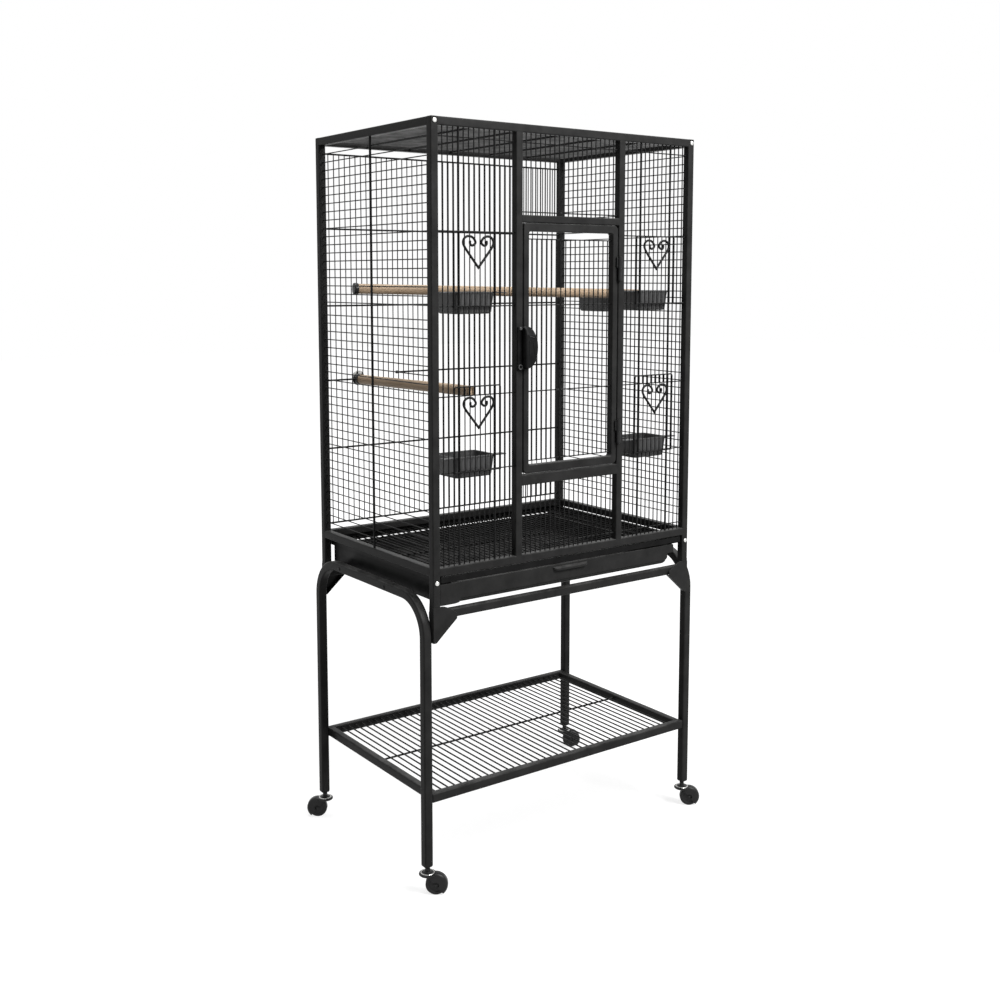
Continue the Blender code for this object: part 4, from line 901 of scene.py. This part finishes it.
def grateShells():
    # Four flat bars, evenly spaced wires from front to rear, and cross wires under them.
    x, y, depth, (low, high) = grate["x"], grate["y"], grate["barDepth"], grate["bar"]
    front = [[(-x, -y, low), (x, -y + depth, high)]]
    rest = [[(s * (x - depth), -y + 0.003, low + 0.0002), (s * x, y - 0.003, high + 0.0014)] for s in (-1, 1)]
    rest.append([(-x, y - depth, low + 0.0002), (x, y, high + 0.0016)])
    uprights = np.linspace(-x + 0.007, x - 0.007, grate["wires"])
    return roundedBars(front, 0.0013, 0.0010) + roundedBars(rest, 0.0012, 0.0008) + [
        wires((uprights,), (-y + 0.004, y - 0.003), (grate["wireZ"],), grate["wire"]),
        wires((-x + 0.003, x - 0.003), (grate["crossY"],), (grate["crossZ"],), grate["cross"], 10)]


# The grate is drawn in a darker copy of the powder coat: painted shade.
addPiece("grate_wires", grateShells(), grateShadedCoat, ["grate"], "grate")

tray = {"x": 0.2542, "front": -0.207, "rear": 0.205, "low": 0.530, "high": 0.5679, "corner": 0.010,
        "wall": 0.0014, "wingX": -0.2944, "earX": 0.2712, "earLow": 0.552, "panelTop": 0.5687,
        "panelY": (-0.2085, -0.2073), "hem": 0.0125, "hemLow": 0.5538, "hemGap": 0.0003, "pullX": 0.042,
        "pullZ": 0.5654, "pullReach": 0.008, "pullDrop": 0.0040, "pullSheet": 0.0016}


def trayShell():
    # Rounded rectangles up a rounded bottom edge, over the rim and down the inside to the floor.
    x, low, high, c, wall = tray["x"], tray["low"], tray["high"], tray["corner"], tray["wall"]

    def loop(z, inset):
        corners = (-x + inset, tray["front"] + inset), (x - inset, tray["rear"] - inset)
        return level(roundedLoop(*corners, max(0.0040 - inset * 0.25, 0.0012), 5), z)

    steps = [*roundSteps(c, (0, 18, 36, 54, 72, 90), low), (high - 0.0004, 0.0), (high, 0.0004),
             (high, wall - 0.0004), (high - 0.0004, wall),
             *roundSteps(c - wall, (90, 72, 54, 36, 18, 0), low + wall, wall)]
    return ringShell(np.array([loop(*step) for step in steps]))


def trayHem(side):
    # A strip that lies outside the pan's upper edge.
    x = tray["x"] + tray["hemGap"]
    box = [(side * x, tray["front"], tray["hemLow"]), (side * (x + tray["hem"]), tray["rear"], tray["high"])]
    return roundedBars([box], 0.0012, 0.0008)


def trayFront():
    # A sheet from the left wing to the right ear; its lower edge steps up to the pan's round and to the ear.
    front, back = tray["panelY"]
    low, bend = tray["low"] + 0.0005, tray["low"] + tray["corner"] - 0.0012
    wingX, earX, earLow = tray["wingX"], tray["earX"], tray["earLow"]
    lower = np.array([(wingX, low + 0.0010), (wingX + 0.001, low), (-0.262, low), (-0.2542, low + 0.0012),
                      (-0.2500, bend), (0.2500, bend), (0.2542, bend + 0.0030), (0.2556, earLow),
                      (0.2702, earLow), (earX, earLow + 0.0010)])
    upper = np.column_stack([lower[:, 0], np.full(len(lower), tray["panelTop"])])
    upper[[0, -1], 1] -= 0.0008
    rings = [upright(np.vstack([lower + [0, inset], upper[::-1] - [0, inset]]), y)
             for y, inset in ((back, 0.0), (front + 0.0005, 0.0), (front, 0.0004))]
    return [ringShell(np.array(rings)), fingerPull()]


def fingerPull():
    # A lip that leaves the front, rolls over and turns down: its reach follows a sine of the roll, its drop
    # one less a cosine, and both shrink to nothing at the rounded ends.
    u = np.linspace(-1, 1, 33)
    depth = tray["pullReach"] * np.clip(1 - np.abs(u) ** 9, 0.02, 1)[:, None] ** 0.5
    roll = np.radians(np.linspace(0, 115, 9))[None]
    drop = tray["pullDrop"] * (1 - np.cos(roll)) * depth / tray["pullReach"]
    skins = []
    for sheet in (0.0, tray["pullSheet"]):
        y = tray["front"] - 0.0004 - depth * np.sin(np.minimum(roll, math.pi / 2)) * (1 - sheet / 0.012)
        x = np.broadcast_to(u[:, None] * tray["pullX"], y.shape)
        skins.append(np.stack([x, y, tray["pullZ"] - sheet - drop], axis=-1))
    return ringShell(np.concatenate([skins[0], skins[1][:, ::-1]], axis=1))


for sideName, side in sides:
    hem = "tray_" + sideName + "_hem"
    addPiece(hem + "_fold", trayHem(side), powderCoat, [hem], "tray")
addPiece("tray_front_sheet", trayFront(), powderCoat, ["tray_front"], "tray", weighted=False)
addPiece("tray_pan", [trayShell()], powderCoat, ["tray"], "tray")

runner = {"outer": 0.2947, "web": 0.2697, "ledge": 0.2562, "top": 0.570, "low": 0.552, "sheet": 0.0010,
          "front": -0.205, "rear": 0.205, "skirt": 0.0012, "skirtLow": 0.535, "skirtRear": 0.184,
          "lipHigh": 0.5836, "lipShort": 0.0102, "edge": 0.0003}


def runnerShells(side):
    # A folded strip: top, web, ledge and a lip against the rail. The left one also has a skirt, which ends
    # short of the rear post.
    r, front, rear, sheet, short = runner, *(runner[key] for key in ("front", "rear", "sheet", "lipShort"))
    outer, inner, web = side * r["outer"], side * (r["outer"] - r["skirt"]), side * r["web"]
    boxes = [
        [(outer, front, r["top"] - sheet), (web, rear, r["top"])],
        [(web, front, r["low"]), (side * (r["web"] + sheet), rear, r["top"] - 0.0001)],
        [(web, front, r["low"]), (side * r["ledge"], rear, r["low"] + sheet)],
        [(outer, front + short, r["top"] - sheet), (inner, rear - short, r["lipHigh"])],
    ]
    if side < 0:
        boxes.append([(outer, front, r["skirtLow"]), (inner, r["skirtRear"], r["top"] - 0.0002)])
    return roundedBars(boxes, r["edge"])


for sideName, side in sides:
    # The runners share the grate's darker coat: painted shade.
    addPiece(sideName + "_runner_strip", runnerShells(side), grateShadedCoat, [sideName + "_runner"])

# stand
stand = {"x": 0.3178, "y": 0.197, "low": 0.0515, "beam": 0.5415, "bend": 0.0700, "tube": 0.015,
         "legX": 0.3188, "legTube": 0.0168, "corner": 0.0030, "bar": (0.5047, 0.5208), "barEnd": 0.3074,
         "feet": ((0.0, 0.72), (0.0006, 0.86), (0.0018, 0.96), (0.0034, 1.0)),  # height up a foot, and scale
         "plugY": (0.105, -0.066),
         "plug": ((0.0042, -0.0010), (0.0042, 0.0004), (0.0034, 0.0009), (0.0010, 0.0010))}


def legFrame(side):
    # A rounded square carried up one leg, round both bends and down the other, drawn in at its feet.
    y, r = stand["y"], stand["bend"]
    cz = stand["beam"] - r
    feet, grow = np.transpose(stand["feet"])
    rise = np.concatenate([stand["low"] + feet, [cz - 0.06, cz - 0.004]])
    flat = np.vstack([
        np.column_stack([np.full(6, -y), rise]), arcPoints(-y + r, cz, r, 180, 90, 19),
        arcPoints(y - r, cz, r, 90, 0, 19), np.column_stack([np.full(6, y), rise[::-1]]),
    ])
    scale = np.ones(len(flat))
    scale[:4], scale[-4:] = grow, grow[::-1]
    path = np.column_stack([np.full(len(flat), side * stand["legX"]), flat])
    half = stand["legTube"] / 2
    return sweptPath(path, roundedSection(half, half, stand["corner"]), (1, 0, 0), scale=scale)


for sideName, side in sides:
    addPiece(sideName + "_leg_tube", [legFrame(side)], powderCoat, [sideName + "_leg_frame"])

plugX = -stand["legX"] - stand["legTube"] / 2  # two small dark plugs on the outside of the left beam
plugs = [turned(stand["plug"], (plugX, y, stand["beam"] - 0.0005), (-1, 0, 0), 20) for y in stand["plugY"]]
# The plugs take the latch's coat, with its painted shade and painted top light.
addPiece("beam_plugs", plugs, latchShadedLitPlastic)

ends = (("front", -1), ("rear", 1))
for endName, toward in ends:
    middle, half, reach, (low, high) = toward * stand["y"], stand["tube"] / 2, stand["barEnd"], stand["bar"]
    bar = roundedBars([[(-reach, middle - half, low), (reach, middle + half, high)]], stand["corner"], 0.0008)
    addPiece(endName + "_bar_tube", bar, powderCoat, [endName + "_bar"])

bracket = {"top": 0.5297, "low": 0.465, "reach": 0.050, "toe": 0.0065, "lip": 0.012, "sheet": 0.0020,
           "right": 0.31, "rear": 0.21, "knee": 0.5036, "mid": 0.5135, "flat": 0.018}


def bracketShells(sideX, sideY):
    # The plate: columns from the outer edge to the inner, each from the lower ramp to the upper sweep.
    # A flange folds in along the post and a lip along the ramp.
    right, rearY, sheet, toe, reach = (bracket[key] for key in ("right", "rear", "sheet", "toe", "reach"))
    out = np.linspace(0, reach, 25)
    ramp = np.clip((out - toe) / (reach - toe), 0, 1)
    fall = np.clip((out - bracket["flat"]) / (reach - bracket["flat"]), 0, 1)
    low = bracket["low"] + (bracket["knee"] - bracket["low"]) * ramp
    high = bracket["top"] - (bracket["top"] - bracket["mid"]) * (1 - np.cos(fall * math.pi / 2)) ** 0.9
    v = np.array([0, 0.02, 0.5, 0.98, 1.0])
    inset = np.array([0.0006, 0.0, 0.0, 0.0, 0.0006])
    z = low[:, None] + (high - low)[:, None] * v
    x = np.broadcast_to((right - out)[:, None], z.shape)
    outer = np.stack([x, np.broadcast_to(rearY - inset, z.shape), z], axis=-1)
    inner = np.stack([x, np.broadcast_to(rearY - sheet + inset, z.shape), z], axis=-1)
    face = ringShell(np.concatenate([outer, inner[:, ::-1]], axis=1))
    flange = roundedBars([[(right - sheet, rearY - cage["tube"], bracket["low"]),
                           (right, rearY - sheet / 2, bracket["top"])]], 0.0008, 0.0006)
    start = np.array([right - toe + 0.001, bracket["low"] + 0.0004])
    end = np.array([right - reach + 0.0006, bracket["knee"] + 0.0004])
    along = (end - start) / np.linalg.norm(end - start)
    across = np.array([-along[1], along[0]]) * (1 if along[0] > 0 else -1)
    section = roundedSection(0.5, 0.5, 0.3, 3)
    depth = rearY - bracket["lip"] / 2 - section[:, 0] * (bracket["lip"] - 0.0006)
    lip = []
    for place in (start, end):
        plane = place + (section[:, 1:] + 0.5) * across * sheet
        lip.append(np.column_stack([plane[:, 0], depth, plane[:, 1]]))
    return placed([face, ringShell(np.array(lip))] + flange, np.diag([sideX, sideY, 1.0]))


for endName, sideY in ends:
    for sideName, sideX in sides:
        node = endName + "_bracket_" + sideName
        addPiece(node + "_sheet", bracketShells(sideX, sideY), powderCoat, [node])

shelf = {"x": 0.31, "y": 0.2045, "z": (0.1700, 0.1870), "wires": 38, "wire": 0.0015, "wireZ": 0.1822,
         "cross": 0.0019, "crossZ": 0.1795, "inner": 0.295, "wireReach": 0.1905, "crossReach": 0.296,
         "bite": 0.0012}


def shelfRing():
    # Two long bars and two short ones that run a little into them.
    t, bite, x, y, (low, high) = stand["tube"], shelf["bite"], shelf["x"], shelf["y"], shelf["z"]
    bars = [[(-x, s * (y - t), low), (x, s * y, high)] for s in (-1, 1)]
    crossBars = [[(s * (x - t), -y + t - bite, low), (s * x, y - t + bite, high)] for s in (-1, 1)]
    return roundedBars(bars, stand["corner"], shelf["bite"]) + roundedBars(crossBars, stand["corner"])


def shelfWires():
    # Evenly spaced wires from front to rear, over one cross wire.
    x = between(-shelf["inner"], shelf["inner"], shelf["wires"])
    wide, long = shelf["wireReach"], shelf["crossReach"]
    return [wires((x,), (-wide, wide), (shelf["wireZ"],), shelf["wire"]),
            wires((-long, long), (0.0,), (shelf["crossZ"],), shelf["cross"], 10)]


addPiece("shelf_ring", shelfRing(), powderCoat, ["shelf"])
addPiece("shelf_wires", shelfWires(), wireCoat, weighted=False)
print("tray, grate and stand made")

# casters
caster = {
    "trail": 0.015, "radius": 0.0190, "width": 0.0130, "hood": 0.0220, "hoodWidth": 0.0182, "wall": 0.0018,
    "cheek": 0.0022, "bend": 0.0060, "innerBend": 0.0035, "hub": 0.0058, "low": -50.0, "high": 133.0,
    "plate": 0.0160, "plateZ": (0.0360, 0.0410), "stem": 0.0045, "stemTop": 0.0497,
    "corners": {"front_left": (-1, -1, -36.0), "front_right": (1, -1, -36.0), "rear_right": (1, 1, -36.0),
                "rear_left": (-1, 1, 144.0)},  # side, end and heading
}


def hoodSection(halfW, outer, bend, steps):
    # Half of a section that wraps the tread and one cheek, and its mirror image.
    hub = caster["hub"]
    corner = arcPoints(halfW - bend, outer - bend, bend, 0, 90, steps)
    half = np.vstack([[[halfW, hub]], [[halfW, (hub + outer) / 2]], corner, [[0.0, outer]]])
    return np.vstack([half, half[-2::-1] * [-1, 1]])


def hoodShell():
    # The section swept about the axle from the low to the high angle.
    halfW, outer = caster["hoodWidth"] / 2, caster["hood"]
    outside = hoodSection(halfW, outer, caster["bend"], 7)
    inside = hoodSection(halfW - caster["cheek"], outer - caster["wall"], caster["innerBend"], 5)
    section = np.vstack([outside, inside[::-1]])
    angles = np.radians(np.linspace(caster["low"], caster["high"], 37))[:, None]
    return ringShell(np.stack([
        caster["trail"] + section[:, 1] * np.cos(angles),
        np.broadcast_to(section[:, 0], (len(angles), len(section))),
        caster["radius"] + section[:, 1] * np.sin(angles),
    ], axis=-1))


def forkShells():
    # The hood, a neck under the plate, and the plate, collar and stem turned about the stem's axis.
    low, high = caster["plateZ"]
    r, stem, stemTop = caster["plate"], caster["stem"], caster["stemTop"]
    profiles = (
        ([(r * 0.6, low - 0.0006), (r * 0.93, low), (r, low + 0.0012), (r, low + 0.0022),
          (r * 0.96, high - 0.0014), (r * 0.80, high - 0.0004), (r * 0.5, high)], 40),
        ([(0.0078, high - 0.001), (0.0078, high + 0.0006), (0.0066, high + 0.0014),
          (0.0052, high + 0.0018)], 28),
        ([(stem, high - 0.001), (stem, stemTop - 0.0005), (stem - 0.0005, stemTop)], 24),
    )
    neck = roundedBars([[(-0.002, -0.0072, 0.0300), (0.0125, 0.0072, 0.0385)]], 0.0030, 0.0020)
    return [hoodShell()] + [turned(own, (0, 0, 0), (0, 0, 1), sides) for own, sides in profiles] + neck


def washerShell():
    # A six-sided section turned about the stem's axis, open in the middle.
    high = caster["plateZ"][1]
    section = [(0.0112, high - 0.0011), (0.0126, high - 0.0011), (0.0128, high - 0.0003),
               (0.0124, high + 0.0001), (0.0114, high + 0.0002), (0.0110, high - 0.0004)]
    return turned(section, (0, 0, 0), (0, 0, 1), 40, ring=True)


def wheelShell():
    # Hub, dished face, rim and rounded tread, turned about the axle.
    r, half = caster["radius"], caster["width"] / 2
    axle = half + caster["cheek"] + 0.0003
    side = [(0.0001, axle), (0.0014, axle), (0.0020, axle - 0.0005), (0.0020, half), (0.0042, half - 0.0001),
            (0.0046, half - 0.0005), (0.0048, half - 0.0014), (0.0120, half - 0.0018),
            (0.0128, half - 0.0016), (0.0134, half - 0.0004), (0.0142, half - 0.0001),
            (r - 0.0022, half - 0.0003)]
    a = np.radians((20, 45, 70, 90))
    tread = np.column_stack([r - 0.0022 + 0.0022 * np.sin(a), half - 0.0025 + 0.0022 * np.cos(a)])
    profile = np.vstack([side, tread])
    return turned(np.vstack([profile, profile[::-1] * [1, -1]]), (caster["trail"], 0, r), (0, 1, 0), 48)


for corner, (sideX, sideY, heading) in caster["corners"].items():
    spot = (turnAboutZ(heading), (sideX * stand["x"], sideY * stand["y"], 0.0))
    fork, wheel = corner + "_fork", corner + "_wheel"
    addPiece(fork + "_hood", placed(forkShells(), *spot), blackPlastic, [fork], fork)
    addPiece(corner + "_swivel_washer", placed([washerShell()], *spot), zincSteel, body=fork)
    addPiece(wheel + "_body", placed([wheelShell()], *spot), wheelPlastic, [wheel], wheel)

# screws
screw = {"x": 0.3025, "z": {"top": 1.3725, "bottom": 0.573}, "y": -0.2103, "radius": 0.0042, "head": 0.0026}


def screwHead(x, z):
    # A low dome turned about the screw's axis.
    r, h = screw["radius"], screw["head"]
    profile = [(r * 0.96, 0.0), (r, 0.0004), (r * 0.97, h * 0.45), (r * 0.80, h * 0.80), (r * 0.50, h * 0.96),
               (r * 0.16, h)]
    return turned(profile, (x, screw["y"], z), (0, -1, 0), 28)


spots = [(end + "_screw_" + sideName, side * screw["x"], z)
         for end, z in screw["z"].items() for sideName, side in sides]
addPiece("post_screws", [screwHead(x, z) for node, x, z in spots], zincSteel, [node for node, x, z in spots])
print("casters and screws made")

# floor, world and lamps
studio = {
    "floorSize": 30.0, "floorDrop": 0.0005, "floorTone": 0.34, "floorGlow": (0.80, 1.0),
    "floorReach": (1.1, 3.2), "worldFill": 0.18, "aim": (0.0, 0.0, 0.65),
    "lamps": {
        "key": {"place": (0.55, -2.05, 2.45), "size": 1.3, "power": 98.0},
        "side": {"place": (-3.2, -1.3, 2.2), "size": 0.9, "power": 6.0},
        "over": {"place": (-0.3, 0.3, 3.8), "size": 2.2, "power": 78.0},
    },
}


def emptyTree(owner, outputKind):
    # A node tree with nothing but its output.
    owner.use_nodes = True
    owner.node_tree.nodes.clear()
    return owner.node_tree, owner.node_tree.nodes.new(outputKind)


def seenDirectly(tree):
    # One for camera, glossy and transmission rays, nothing for the rays that carry light.
    path = addNode(tree, "ShaderNodeLightPath", {})
    seen = path.outputs["Is Camera Ray"]
    for label in ("Is Glossy Ray", "Is Transmission Ray"):
        seen = combined(tree, "MAXIMUM", seen, path.outputs[label])
    return seen


def makeFloor():
    # A glow over the lit floor that grows to white away from the object, so only the object's shadow stays.
    half, z = studio["floorSize"] / 2, -studio["floorDrop"]
    mesh = bpy.data.meshes.new("studio_floor")
    corners = [(x * half, y * half, z) for x, y in ((-1, -1), (1, -1), (1, 1), (-1, 1))]
    mesh.from_pydata(corners, [], [(0, 1, 2, 3)])
    obj = bpy.data.objects.new("studio_floor", mesh)
    bpy.context.scene.collection.objects.link(obj)
    material = bpy.data.materials.new("studioFloor")
    tree, out = emptyTree(material, "ShaderNodeOutputMaterial")
    diffuse = addNode(tree, "ShaderNodeBsdfDiffuse", {"Color": (*[studio["floorTone"]] * 3, 1.0)})
    place = addNode(tree, "ShaderNodeTexCoord", {}).outputs["Object"]
    away = addNode(tree, "ShaderNodeVectorMath", {0: place}, operation="LENGTH")
    (near, far), (dim, full) = studio["floorReach"], studio["floorGlow"]
    glow = ranged(tree, away.outputs["Value"], near, far, dim, full, interpolation_type="SMOOTHSTEP")
    share = combined(tree, "MULTIPLY", seenDirectly(tree), glow)
    light = addNode(tree, "ShaderNodeEmission", {"Color": (1.0, 1.0, 1.0, 1.0), "Strength": share})
    both = addNode(tree, "ShaderNodeAddShader", {0: diffuse.outputs[0], 1: light.outputs[0]})
    tree.links.new(both.outputs[0], out.inputs["Surface"])
    mesh.materials.append(material)


def makeWorld():
    # White to the camera, a weaker fill for the rays that carry light.
    world = bpy.data.worlds.new("studio")
    tree, out = emptyTree(world, "ShaderNodeOutputWorld")
    strength = ranged(tree, seenDirectly(tree), 0.0, 1.0, studio["worldFill"])
    background = addNode(tree, "ShaderNodeBackground", {"Color": (1.0, 1.0, 1.0, 1.0), "Strength": strength})
    tree.links.new(background.outputs[0], out.inputs["Surface"])
    bpy.context.scene.world = world


def makeLamps():
    # Round lamps, each turned to face the middle of the object.
    for name, lamp in studio["lamps"].items():
        data = bpy.data.lights.new(name, "AREA")
        data.shape, data.size, data.energy = "DISK", lamp["size"], lamp["power"]
        obj = bpy.data.objects.new(name, data)
        obj.location = lamp["place"]
        toward = Vector(studio["aim"]) - Vector(lamp["place"])
        obj.rotation_euler = toward.to_track_quat("-Z", "Y").to_euler()
        bpy.context.scene.collection.objects.link(obj)


makeFloor()
makeWorld()
makeLamps()
print("studio made")
